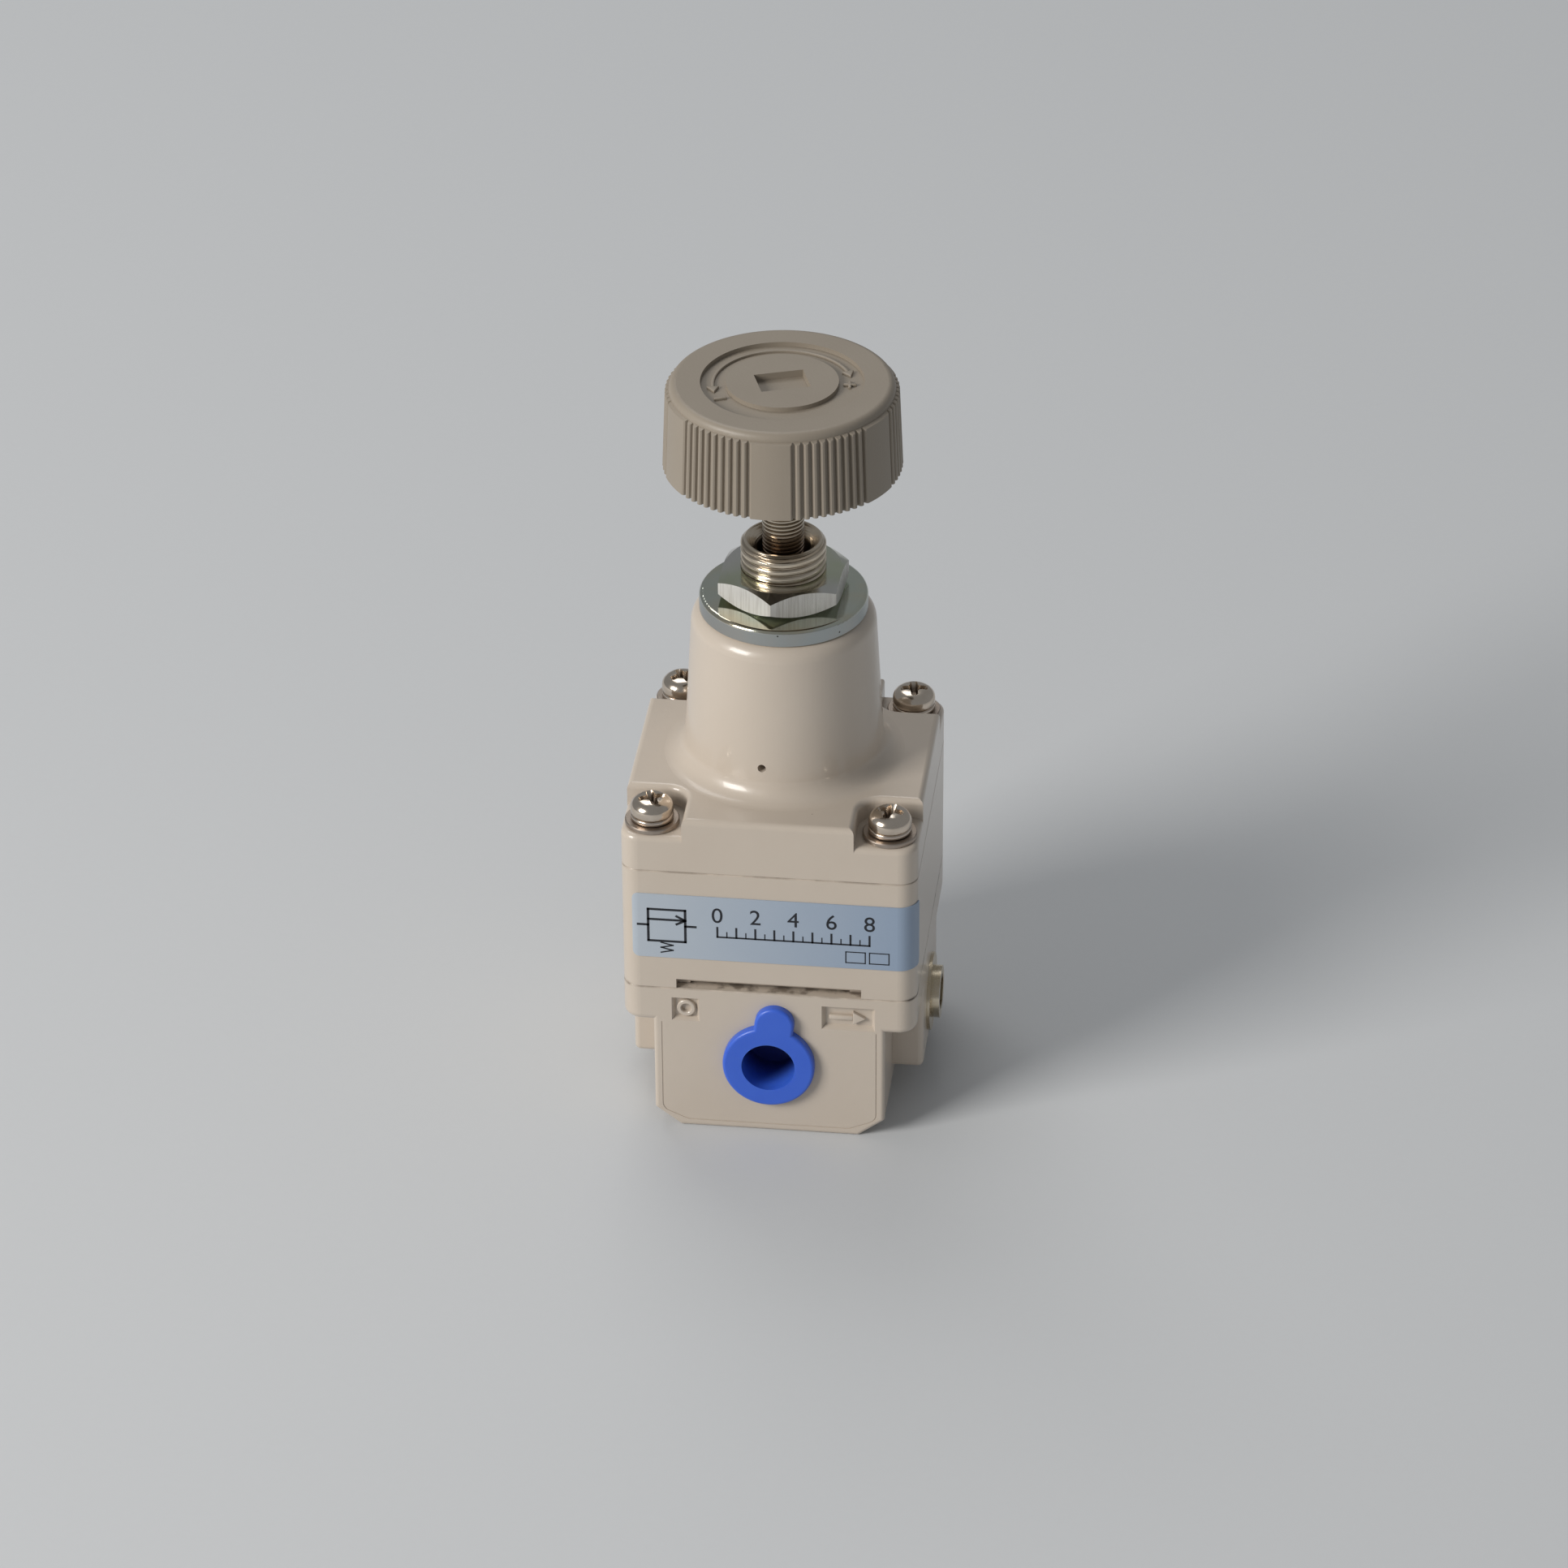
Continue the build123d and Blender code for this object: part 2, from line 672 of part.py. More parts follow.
# Knob: a thin moulded shell with a hub and webs inside, and groups of bevelled grip grooves outside
knob_skirt_top = knob_top - knob_shoulder_height
groove_lean = atan2(knob_rim_radius - knob_crest_radius, knob_skirt_top - knob_rim)
groove_bottom = Vector(knob_rim_radius, 0, knob_rim)
groove_up = Vector(-sin(groove_lean), 0, cos(groove_lean))
with BuildPart() as groove_cutter:
    with BuildSketch(Plane(origin=groove_bottom - groove_up * margin, x_dir=(0, 1, 0), z_dir=groove_up)):
        with BuildLine():
            Polyline(
                (groove_floor_width / 2, groove_depth),
                (groove_throat_width / 2, groove_throat_depth),
                (groove_mouth_width / 2, 0),
                (groove_mouth_width / 2, -loose_gap),
                (-groove_mouth_width / 2, -loose_gap),
                (-groove_mouth_width / 2, 0),
                (-groove_throat_width / 2, groove_throat_depth),
                (-groove_floor_width / 2, groove_depth),
                close=True,
            )
        make_face()
    extrude(amount=margin + (knob_skirt_top + knob_shoulder_slope - knob_rim) / cos(groove_lean))

groove_spread = (grooves_per_group - 1) * groove_pitch
with BuildPart() as groove_cutters:
    for group in range(groove_groups):
        middle = groove_phase - 90 + (group + 0.5) * 360 / groove_groups
        first = middle - groove_spread / 2
        with PolarLocations(0, grooves_per_group, first, grooves_per_group * groove_pitch):
            add(groove_cutter.part)

hub_top = knurl_top + seat_gap
knob_inside_top = knob_top - knob_roof
with BuildPart() as knob:
    with BuildSketch(Plane.XZ):
        with BuildLine():
            Polyline(
                (0, knob_rim),
                (knob_rim_radius, knob_rim),
                (knob_crest_radius, knob_skirt_top),
                (knob_shoulder_radius, knob_skirt_top + knob_shoulder_slope),
                (knob_shoulder_radius, knob_top),
                (0, knob_top),
                close=True,
            )
        make_face()
    revolve(axis=Axis.Z)
    fillet(knob.faces().sort_by(Axis.Z)[-1].edges(), knob_top_round)
    add(groove_cutters.part, mode=Mode.SUBTRACT)
    # Hollow underside around the hub
    with BuildSketch(Plane.XZ):
        with BuildLine():
            Polyline(
                (knob_hub_radius, knob_rim),
                (knob_rim_radius - knob_wall, knob_rim),
                (knob_crest_radius - knob_wall, knob_inside_top),
                (knob_hub_radius, knob_inside_top),
                close=True,
            )
        make_face()
    revolve(axis=Axis.Z, mode=Mode.SUBTRACT)
    with BuildSketch(Plane.XY.offset(knob_rim)):
        Circle(knob_hub_radius + loose_gap)
    extrude(amount=knob_hub_recess, mode=Mode.SUBTRACT)
    with BuildSketch(Plane.XY.offset(knob_rim + knob_rib_recess)):
        with PolarLocations(0, knob_rib_count):
            with Locations((knob_hub_radius - margin / 2, 0)):
                Rectangle(
                    knob_crest_radius - knob_wall - knob_hub_radius + margin,
                    knob_rib_thickness,
                    align=(Align.MIN, Align.CENTER),
                )
    extrude(until=Until.NEXT)
    with BuildSketch(Plane.XY.offset(knob_rim)):
        Circle(adjuster_radius + press_gap)
    extrude(amount=knurl_low - knob_rim, mode=Mode.SUBTRACT)
    with BuildSketch(Plane.XY.offset(knurl_low)):
        Circle(knurl_radius + press_gap)
    extrude(amount=hub_top - knurl_low, mode=Mode.SUBTRACT)
    # Sunk ring and socket in the top face
    with BuildSketch(Plane.XY.offset(knob_top)):
        Circle(ring_outer_radius)
        Circle(ring_inner_radius, mode=Mode.SUBTRACT)
    extrude(amount=-ring_depth, mode=Mode.SUBTRACT)
    with BuildSketch(Plane.XY.offset(knob_top)):
        Rectangle(socket_length, socket_width, rotation=socket_angle)
    extrude(amount=-socket_depth, mode=Mode.SUBTRACT)
knob.part.label = "knob"
export_step(knob.part, "parts/knob.step")

# Setting spring between its two seats, its round wire drawn with six sides
control_plate_top = seam_high + control_plate_thickness
spring_length = upper_seat_bottom - control_plate_top - 2 * seat_gap
spring_rise = spring_length - spring_wire
with BuildPart() as setting_spring:
    with BuildLine():
        spring_path = Helix(
            pitch=spring_rise / spring_turns,
            height=spring_rise,
            radius=spring_mean_radius,
            center=(0, 0, control_plate_top + seat_gap + spring_wire / 2),
        )
    with BuildSketch(Plane(origin=spring_path @ 0, z_dir=spring_path % 0)):
        RegularPolygon(spring_wire / 2, spring_wire_sides)
    sweep(path=spring_path, is_frenet=True)
setting_spring.part.label = "setting_spring"
export_step(setting_spring.part, "parts/setting_spring.step")

# Control diaphragm, clamped between the bonnet and the middle body
with BuildPart() as control_diaphragm:
    with BuildSketch(Plane.XY.offset(seam_high - diaphragm_thickness)):
        Circle(diaphragm_radius)
        Circle(stud_radius + running_gap, mode=Mode.SUBTRACT)
    extrude(amount=diaphragm_thickness)
control_diaphragm.part.label = "control_diaphragm"
export_step(control_diaphragm.part, "parts/control_diaphragm.step")

# Lower spring seat, which is also the control diaphragm's upper plate
control_boss_top = control_plate_top + control_boss_height
with BuildPart() as lower_spring_seat:
    with BuildSketch(Plane.XZ):
        with BuildLine():
            Polyline(
                (stud_radius + seat_gap, seam_high),
                (control_plate_radius, seam_high),
                (control_plate_radius, control_plate_top),
                (spring_spigot_radius, control_plate_top),
                (spring_spigot_radius, control_boss_top),
                (stud_radius + seat_gap, control_boss_top),
                close=True,
            )
        make_face()
    revolve(axis=Axis.Z)
lower_spring_seat.part.label = "lower_spring_seat"
export_step(lower_spring_seat.part, "parts/lower_spring_seat.step")

# Flapper with the stud that carries the diaphragm and its plates
flapper_top = seam_high - diaphragm_thickness
flapper_bottom = flapper_top - flapper_thickness
with BuildPart() as flapper:
    with BuildSketch(Plane.XY.offset(flapper_bottom)):
        Circle(flapper_radius)
    extrude(amount=flapper_thickness)
    with BuildSketch(Plane.XY.offset(flapper_top)):
        Circle(stud_radius)
    extrude(amount=control_boss_top + stud_nut_height + thread_end - flapper_top)
flapper.part.label = "flapper"
export_step(flapper.part, "parts/flapper.step")

with BuildPart() as stud_nut:
    with BuildSketch(Plane.XY.offset(control_boss_top)):
        RegularPolygon(post_nut_flats / 2, 6, major_radius=False)
        Circle(stud_radius + seat_gap, mode=Mode.SUBTRACT)
    extrude(amount=stud_nut_height)
stud_nut.part.label = "stud_nut"
export_step(stud_nut.part, "parts/stud_nut.step")

# Nozzle, pressed into the deck under the flapper
nozzle_tip = flapper_bottom - nozzle_gap
with BuildPart() as nozzle:
    with BuildSketch(Plane.XZ):
        with BuildLine():
            Polyline(
                (nozzle_orifice_radius, deck_bottom),
                (nozzle_radius, deck_bottom),
                (nozzle_radius, deck_top),
                (nozzle_flange_radius, deck_top),
                (nozzle_flange_radius, deck_top + nozzle_flange_thickness),
                (nozzle_tip_radius, nozzle_tip),
                (nozzle_orifice_radius, nozzle_tip),
                close=True,
            )
        make_face()
    revolve(axis=Axis.Z)
nozzle.part.label = "nozzle"
export_step(nozzle.part, "parts/nozzle.step")

# Fixed orifice: a jet in the supply passage
with BuildPart() as fixed_orifice:
    with BuildSketch(Plane.XY.offset(seam_low + jet_rise)):
        with Locations((passage_x, passage_y)):
            Circle(passage_radius - press_gap)
            Circle(jet_bore_radius, mode=Mode.SUBTRACT)
    extrude(amount=jet_length)
fixed_orifice.part.label = "fixed_orifice"
export_step(fixed_orifice.part, "parts/fixed_orifice.step")

# Pilot diaphragm and the threaded ring that clamps it against its shoulder
pilot_underside = pilot_shoulder - diaphragm_thickness
with BuildPart() as pilot_diaphragm:
    with BuildSketch(Plane.XY.offset(pilot_underside)):
        Circle(pilot_bore_radius - running_gap)
        Circle(post_radius + running_gap, mode=Mode.SUBTRACT)
    extrude(amount=diaphragm_thickness)
pilot_diaphragm.part.label = "pilot_diaphragm"
export_step(pilot_diaphragm.part, "parts/pilot_diaphragm.step")

with BuildPart() as clamp_ring:
    with BuildSketch(Plane.XY.offset(pilot_underside - clamp_ring_height)):
        Circle(pilot_bore_radius - seat_gap)
        Circle(pilot_chamber_radius, mode=Mode.SUBTRACT)
    extrude(amount=clamp_ring_height)
    with BuildSketch(Plane.XY.offset(pilot_underside - clamp_ring_height)):
        Rectangle(3 * pilot_bore_radius, clamp_slot_width)
    extrude(amount=clamp_ring_height / 2, mode=Mode.SUBTRACT)
clamp_ring.part.label = "clamp_ring"
export_step(clamp_ring.part, "parts/clamp_ring.step")

# Main diaphragm, clamped between the middle and lower bodies
with BuildPart() as main_diaphragm:
    with BuildSketch(Plane.XY.offset(main_recess)):
        Circle(diaphragm_radius)
        Circle(post_radius + running_gap, mode=Mode.SUBTRACT)
    extrude(amount=diaphragm_thickness)
main_diaphragm.part.label = "main_diaphragm"
export_step(main_diaphragm.part, "parts/main_diaphragm.step")

# Relief stack: plates and a spacer clamped on a hollow post by one nut
lower_plate_bottom = main_recess - plate_thickness
collar_bottom = lower_plate_bottom - post_collar_thickness
post_bottom = collar_bottom - post_nose
spacer_top = pilot_underside
pilot_plate_top = pilot_shoulder + pilot_plate_thickness
post_nut_top = pilot_plate_top + post_nut_height
relief_hole_height = (seam_low + spacer_top) / 2
with BuildPart() as lower_plate:
    with BuildSketch(Plane.XY.offset(lower_plate_bottom)):
        Circle(main_plate_radius)
        Circle(post_radius + seat_gap, mode=Mode.SUBTRACT)
    extrude(amount=plate_thickness)
lower_plate.part.label = "lower_plate"
export_step(lower_plate.part, "parts/lower_plate.step")

with BuildPart() as relief_post:
    with BuildSketch(Plane.XZ):
        with BuildLine():
            Polyline(
                (0, post_bottom),
                (post_radius - post_lead, post_bottom),
                (post_radius, post_bottom + post_lead),
                (post_radius, collar_bottom),
                (post_collar_radius, collar_bottom),
                (post_collar_radius, lower_plate_bottom),
                (post_radius, lower_plate_bottom),
                (post_radius, post_nut_top + thread_end),
                (0, post_nut_top + thread_end),
                close=True,
            )
        make_face()
    revolve(axis=Axis.Z)
    with BuildSketch(Plane.XY.offset(post_bottom)):
        Circle(relief_orifice_radius)
    extrude(amount=relief_hole_height + relief_orifice_radius - post_bottom, mode=Mode.SUBTRACT)
    with BuildSketch(Plane.YZ.offset(-post_radius - margin)):
        with Locations((0, relief_hole_height)):
            Circle(relief_orifice_radius)
    extrude(amount=2 * post_radius + 2 * margin, mode=Mode.SUBTRACT)
relief_post.part.label = "relief_post"
export_step(relief_post.part, "parts/relief_post.step")

with BuildPart() as diaphragm_spacer:
    with BuildSketch(Plane.XZ):
        with BuildLine():
            Polyline(
                (post_radius + seat_gap, seam_low),
                (main_plate_radius, seam_low),
                (main_plate_radius, seam_low + spacer_flange_thickness),
                (spacer_tube_radius, seam_low + spacer_flange_thickness),
                (spacer_tube_radius, spacer_top - spacer_flange_thickness),
                (pilot_plate_radius, spacer_top - spacer_flange_thickness),
                (pilot_plate_radius, spacer_top),
                (post_radius + seat_gap, spacer_top),
                close=True,
            )
        make_face()
    revolve(axis=Axis.Z)
    with BuildSketch(Plane.YZ.offset(-spacer_tube_radius - margin)):
        with Locations((0, relief_hole_height)):
            Circle(relief_hole_radius)
    extrude(amount=2 * spacer_tube_radius + 2 * margin, mode=Mode.SUBTRACT)
diaphragm_spacer.part.label = "diaphragm_spacer"
export_step(diaphragm_spacer.part, "parts/diaphragm_spacer.step")

with BuildPart() as pilot_plate:
    with BuildSketch(Plane.XY.offset(pilot_shoulder)):
        Circle(pilot_plate_radius)
        Circle(post_radius + seat_gap, mode=Mode.SUBTRACT)
    extrude(amount=pilot_plate_thickness)
pilot_plate.part.label = "pilot_plate"
export_step(pilot_plate.part, "parts/pilot_plate.step")

with BuildPart() as post_nut:
    with BuildSketch(Plane.XY.offset(pilot_plate_top)):
        RegularPolygon(post_nut_flats / 2, 6, major_radius=False)
        Circle(post_radius + seat_gap, mode=Mode.SUBTRACT)
    extrude(amount=post_nut_height)
post_nut.part.label = "post_nut"
export_step(post_nut.part, "parts/post_nut.step")

# Supply valve: a poppet with a cone tip that closes the relief orifice
seal_top = seat_lip_bottom - seat_gap
seal_bottom = seal_top - valve_seal_thickness
disc_bottom = seal_bottom - valve_disc_thickness
cone_radius_at_post = relief_orifice_radius - seat_gap
stem_shoulder = post_bottom - (valve_stem_radius - cone_radius_at_post)
cone_tip_radius = cone_radius_at_post / 2
tail_bottom = guide_height - valve_tail_depth
with BuildPart() as main_valve:
    with BuildSketch(Plane.XZ):
        with BuildLine():
            Polyline(
                (0, tail_bottom),
                (valve_tail_radius - valve_lead, tail_bottom),
                (valve_tail_radius, tail_bottom + valve_lead),
                (valve_tail_radius, disc_bottom),
                (valve_disc_radius, disc_bottom),
                (valve_disc_radius, seal_bottom),
                (valve_spigot_radius, seal_bottom),
                (valve_spigot_radius, seal_top),
                (valve_stem_radius, seal_top),
                (valve_stem_radius, stem_shoulder),
                (cone_tip_radius, stem_shoulder + valve_stem_radius - cone_tip_radius),
                (0, stem_shoulder + valve_stem_radius - cone_tip_radius),
                close=True,
            )
        make_face()
    revolve(axis=Axis.Z)
main_valve.part.label = "main_valve"
export_step(main_valve.part, "parts/main_valve.step")

with BuildPart() as valve_seal:
    with BuildSketch(Plane.XY.offset(seal_bottom)):
        Circle(valve_seal_radius)
        Circle(valve_spigot_radius, mode=Mode.SUBTRACT)
    extrude(amount=valve_seal_thickness)
valve_seal.part.label = "valve_seal"
export_step(valve_seal.part, "parts/valve_seal.step")

# Valve guide: a threaded plug, flush with the underside, that guides the valve's tail
guide_groove_high = guide_height - guide_ring_top
guide_groove_low = guide_groove_high - guide_ring_width
guide_groove_radius = guide_radius - guide_ring_depth
guide_boss_top = guide_height + guide_boss_height
guide_boss_radius = valve_spring_radius - valve_spring_wire / 2 - spigot_gap / 2
with BuildPart() as valve_guide:
    with BuildSketch(Plane.XZ):
        with BuildLine():
            Polyline(
                (0, 0),
                (guide_radius - seat_gap, 0),
                (guide_radius - seat_gap, guide_groove_low),
                (guide_groove_radius, guide_groove_low),
                (guide_groove_radius, guide_groove_high),
                (guide_radius - seat_gap, guide_groove_high),
                (guide_radius - seat_gap, guide_height),
                (guide_boss_radius, guide_height),
                (guide_boss_radius, guide_boss_top),
                (valve_tail_radius + running_gap, guide_boss_top),
                (valve_tail_radius + running_gap, tail_bottom - valve_tail_room),
                (0, tail_bottom - valve_tail_room),
                close=True,
            )
        make_face()
    revolve(axis=Axis.Z)
    # Two holes for a pin spanner
    with BuildSketch(Plane.XY):
        with GridLocations(2 * spanner_hole_place, 1, 2, 1):
            Circle(spanner_hole_radius)
    extrude(amount=spanner_hole_depth, mode=Mode.SUBTRACT)
valve_guide.part.label = "valve_guide"
export_step(valve_guide.part, "parts/valve_guide.step")

# Sealing ring in the guide's groove, its round section drawn with eight sides
guide_ring_section = (guide_radius - guide_groove_radius) / 2 - seat_gap
with BuildPart() as guide_o_ring:
    with BuildSketch(Plane.XZ):
        guide_ring_radius = (guide_radius + guide_groove_radius) / 2
        with Locations((guide_ring_radius, (guide_groove_low + guide_groove_high) / 2)):
            RegularPolygon(guide_ring_section, guide_ring_sides)
    revolve(axis=Axis.Z)
guide_o_ring.part.label = "guide_o_ring"
export_step(guide_o_ring.part, "parts/guide_o_ring.step")

valve_spring_low = guide_height + seat_gap
valve_spring_rise = disc_bottom - guide_height - 2 * seat_gap - valve_spring_wire
with BuildPart() as valve_spring:
    with BuildLine():
        valve_spring_path = Helix(
            pitch=valve_spring_rise / valve_spring_turns,
            height=valve_spring_rise,
            radius=valve_spring_radius,
            center=(0, 0, valve_spring_low + valve_spring_wire / 2),
        )
    with BuildSketch(Plane(origin=valve_spring_path @ 0, z_dir=valve_spring_path % 0)):
        RegularPolygon(valve_spring_wire / 2, spring_wire_sides)
    sweep(path=valve_spring_path, is_frenet=True)
valve_spring.part.label = "valve_spring"
export_step(valve_spring.part, "parts/valve_spring.step")

# Cover screws: four long pan heads with a cross recess, made once and placed in the pockets
flat_washer_top = ledge_top + flat_washer_thickness
head_bottom = flat_washer_top + spring_washer_thickness
head_top = head_bottom + screw_head_height
with BuildPart() as cover_screw:
    with BuildSketch(Plane.XZ):
        with BuildLine():
            Polyline(
                (0, head_top),
                (0, screw_tip_height),
                (screw_radius - screw_lead, screw_tip_height),
                (screw_radius, screw_tip_height + screw_lead),
                (screw_radius, head_bottom),
                (screw_head_radius - screw_head_edge, head_bottom),
                (screw_head_radius, head_bottom + screw_head_edge),
                (screw_head_radius, head_bottom + screw_head_rim),
            )
            TangentArc((screw_head_radius, head_bottom + screw_head_rim), (0, head_top), tangent=(0, 1))
        make_face()
    revolve(axis=Axis.Z)
    with BuildSketch(Plane.XY.offset(head_top + seat_gap)):
        Rectangle(screw_recess_span, screw_recess_width)
        Rectangle(screw_recess_width, screw_recess_span)
    extrude(amount=-screw_recess_depth, taper=screw_recess_taper, mode=Mode.SUBTRACT)

with BuildPart() as cover_screws:
    with GridLocations(2 * screw_place, 2 * screw_place, 2, 2):
        add(cover_screw.part)
cover_screws.part.label = "cover_screws"
export_step(cover_screws.part, "parts/cover_screws.step")

with BuildPart() as spring_washers:
    with BuildSketch(Plane.XY.offset(flat_washer_top)):
        with GridLocations(2 * screw_place, 2 * screw_place, 2, 2):
            Circle(screw_head_radius)
            Circle(screw_radius + loose_gap, mode=Mode.SUBTRACT)
            with Locations((screw_head_radius, 0)):
                Rectangle(2 * screw_head_radius, spring_washer_gap, mode=Mode.SUBTRACT)
    extrude(amount=spring_washer_thickness)
spring_washers.part.label = "spring_washers"
export_step(spring_washers.part, "parts/spring_washers.step")

with BuildPart() as flat_washers:
    with BuildSketch(Plane.XY.offset(ledge_top)):
        with GridLocations(2 * screw_place, 2 * screw_place, 2, 2):
            Circle(flat_washer_radius)
            Circle(screw_radius + loose_gap, mode=Mode.SUBTRACT)
    extrude(amount=flat_washer_thickness)
flat_washers.part.label = "flat_washers"
export_step(flat_washers.part, "parts/flat_washers.step")

# Outlet cap: a soft cup pushed into the port, with a round flange and a pull tab
cap_inner_radius = cap_tube_radius - cap_wall
with BuildPart() as out_port_cap:
    with BuildSketch(out_face):
        Circle(cap_flange_radius)
        with Locations(Location((0, 0, 0), (0, 0, cap_tab_angle))):
            SlotCenterPoint((0, cap_tab_reach / 2), (0, cap_tab_reach - cap_tab_width / 2), cap_tab_width)
    extrude(amount=cap_flange_thickness)
    fillet(out_port_cap.faces().sort_by(Axis.Y)[0].edges(), cap_flange_round)
    with BuildSketch(out_face):
        Circle(cap_tube_radius)
    extrude(amount=-cap_tube_length)
    with BuildSketch(out_face.offset(cap_flange_thickness)):
        Circle(cap_inner_radius)
    extrude(amount=-(cap_flange_thickness + cap_tube_length - cap_wall), mode=Mode.SUBTRACT)
out_port_cap.part.label = "out_port_cap"
export_step(out_port_cap.part, "parts/out_port_cap.step")


def gauge_plug(face):
    """Hexagon socket plug with a thin flange, for one gauge port."""
    with BuildPart() as plug:
        with BuildSketch(face.offset(-plug_length)):
            Circle(plug_thread_radius)
        extrude(amount=plug_length)
        with BuildSketch(face.offset(-plug_groove_width - plug_groove_inset)):
            Circle(plug_thread_radius)
            Circle(plug_groove_radius, mode=Mode.SUBTRACT)
        extrude(amount=plug_groove_width, mode=Mode.SUBTRACT)
        with BuildSketch(face):
            Circle(plug_thread_radius + plug_flange_rim)
        extrude(amount=plug_flange_thickness)
        with BuildSketch(face.offset(plug_flange_thickness)):
            Circle(plug_boss_radius)
        extrude(amount=plug_boss_thickness)
        with BuildSketch(face.offset(plug_flange_thickness + plug_boss_thickness)):
            RegularPolygon(plug_socket_flats / 2, 6, major_radius=False)
        extrude(amount=-plug_socket_depth, mode=Mode.SUBTRACT)
    return plug.part


def gauge_seal(face):
    """Square-section sealing ring in the groove under the plug's flange."""
    with BuildPart() as seal:
        with BuildSketch(face.offset(-plug_groove_width - plug_groove_inset + seat_gap)):
            Circle(port_radius - seat_gap)
            Circle(plug_groove_radius + seat_gap, mode=Mode.SUBTRACT)
        extrude(amount=plug_groove_width - 2 * seat_gap)
    return seal.part


for side, face in (("right", right_face), ("left", left_face)):
    plug_part = gauge_plug(face)
    plug_part.label = "gauge_plug_" + side
    export_step(plug_part, "parts/gauge_plug_" + side + ".step")
    seal_part = gauge_seal(face)
    seal_part.label = "gauge_seal_" + side
    export_step(seal_part, "parts/gauge_seal_" + side + ".step")

# Label: a thin bare foil with rounded ends on the middle body's front, wrapped round both corners
label_outer = half + label_thickness
label_left = -half + corner_radius - label_left_wrap
label_middle = seam_low + label_low + label_height / 2
with BuildPart() as label:
    with BuildSketch(Plane.XY.offset(seam_low + label_low)):
        RectangleRounded(2 * label_outer, 2 * label_outer, corner_radius + label_thickness)
        RectangleRounded(body_width, body_width, corner_radius, mode=Mode.SUBTRACT)
    extrude(amount=label_height)
    with BuildSketch(Plane.XZ):
        with Locations((label_left, label_middle)):
            RectangleRounded(2 * body_width, label_height, label_corner, align=(Align.MIN, Align.CENTER))
    extrude(amount=body_width, mode=Mode.INTERSECT)
    with BuildSketch(Plane.YZ.offset(-body_width)):
        with Locations((-label_outer + label_right_wrap, label_middle)):
            RectangleRounded(2 * body_width, label_height, label_corner, align=(Align.MAX, Align.CENTER))
    extrude(amount=2 * body_width, mode=Mode.INTERSECT)
label.part.label = "label"
export_step(label.part, "parts/label.step")
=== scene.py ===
from math import atan2, cos, hypot, pi, radians, sin

import bpy
from mathutils import Matrix, Vector


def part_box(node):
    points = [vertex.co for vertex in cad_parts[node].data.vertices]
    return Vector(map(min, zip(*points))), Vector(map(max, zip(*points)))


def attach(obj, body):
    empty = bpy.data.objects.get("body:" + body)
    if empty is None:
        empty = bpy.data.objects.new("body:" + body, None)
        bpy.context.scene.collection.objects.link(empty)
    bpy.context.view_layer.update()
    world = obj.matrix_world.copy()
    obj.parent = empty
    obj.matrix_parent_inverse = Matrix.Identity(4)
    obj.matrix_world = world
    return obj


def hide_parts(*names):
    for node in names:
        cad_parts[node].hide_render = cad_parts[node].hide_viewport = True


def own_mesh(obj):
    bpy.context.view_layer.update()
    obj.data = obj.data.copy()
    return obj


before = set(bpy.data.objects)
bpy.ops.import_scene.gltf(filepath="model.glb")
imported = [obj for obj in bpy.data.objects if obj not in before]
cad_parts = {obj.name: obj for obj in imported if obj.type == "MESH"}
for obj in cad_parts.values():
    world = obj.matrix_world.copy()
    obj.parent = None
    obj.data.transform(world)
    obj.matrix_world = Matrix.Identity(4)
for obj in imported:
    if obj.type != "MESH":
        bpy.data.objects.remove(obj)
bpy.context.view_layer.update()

MM = 0.001
for loaded in bpy.context.selected_objects:
    loaded.select_set(False)


# Castings. Three blocks of die-cast aluminium under a coat of warm grey paint, screwed in a stack. A little
# grime sits along the two joints between them and in the exhaust slot, and the vent is a dark hole in the
# neck.
class Value:
    """A shader number. Maths on it adds the Math nodes that work it out."""

    def __init__(self, paint, socket):
        self.paint = paint
        self.socket = socket

    def maths(self, operation, *others):
        return self.paint.add("Math", {"operation": operation}, [self, *others])

    def __add__(self, other):
        return self.maths("ADD", other)

    def __sub__(self, other):
        return self.maths("SUBTRACT", other)

    def __rsub__(self, other):
        return self.paint.add("Math", {"operation": "SUBTRACT"}, [other, self])

    def __mul__(self, other):
        return self.maths("MULTIPLY", other)

    def between(self, start, end):
        """0 at start, 1 at end, and a straight ramp from one to the other."""
        reach = {"Value": self, "From Min": start, "From Max": end}
        return self.paint.add("MapRange", {"clamp": True}, reach)

    __radd__ = __add__
    __rmul__ = __mul__


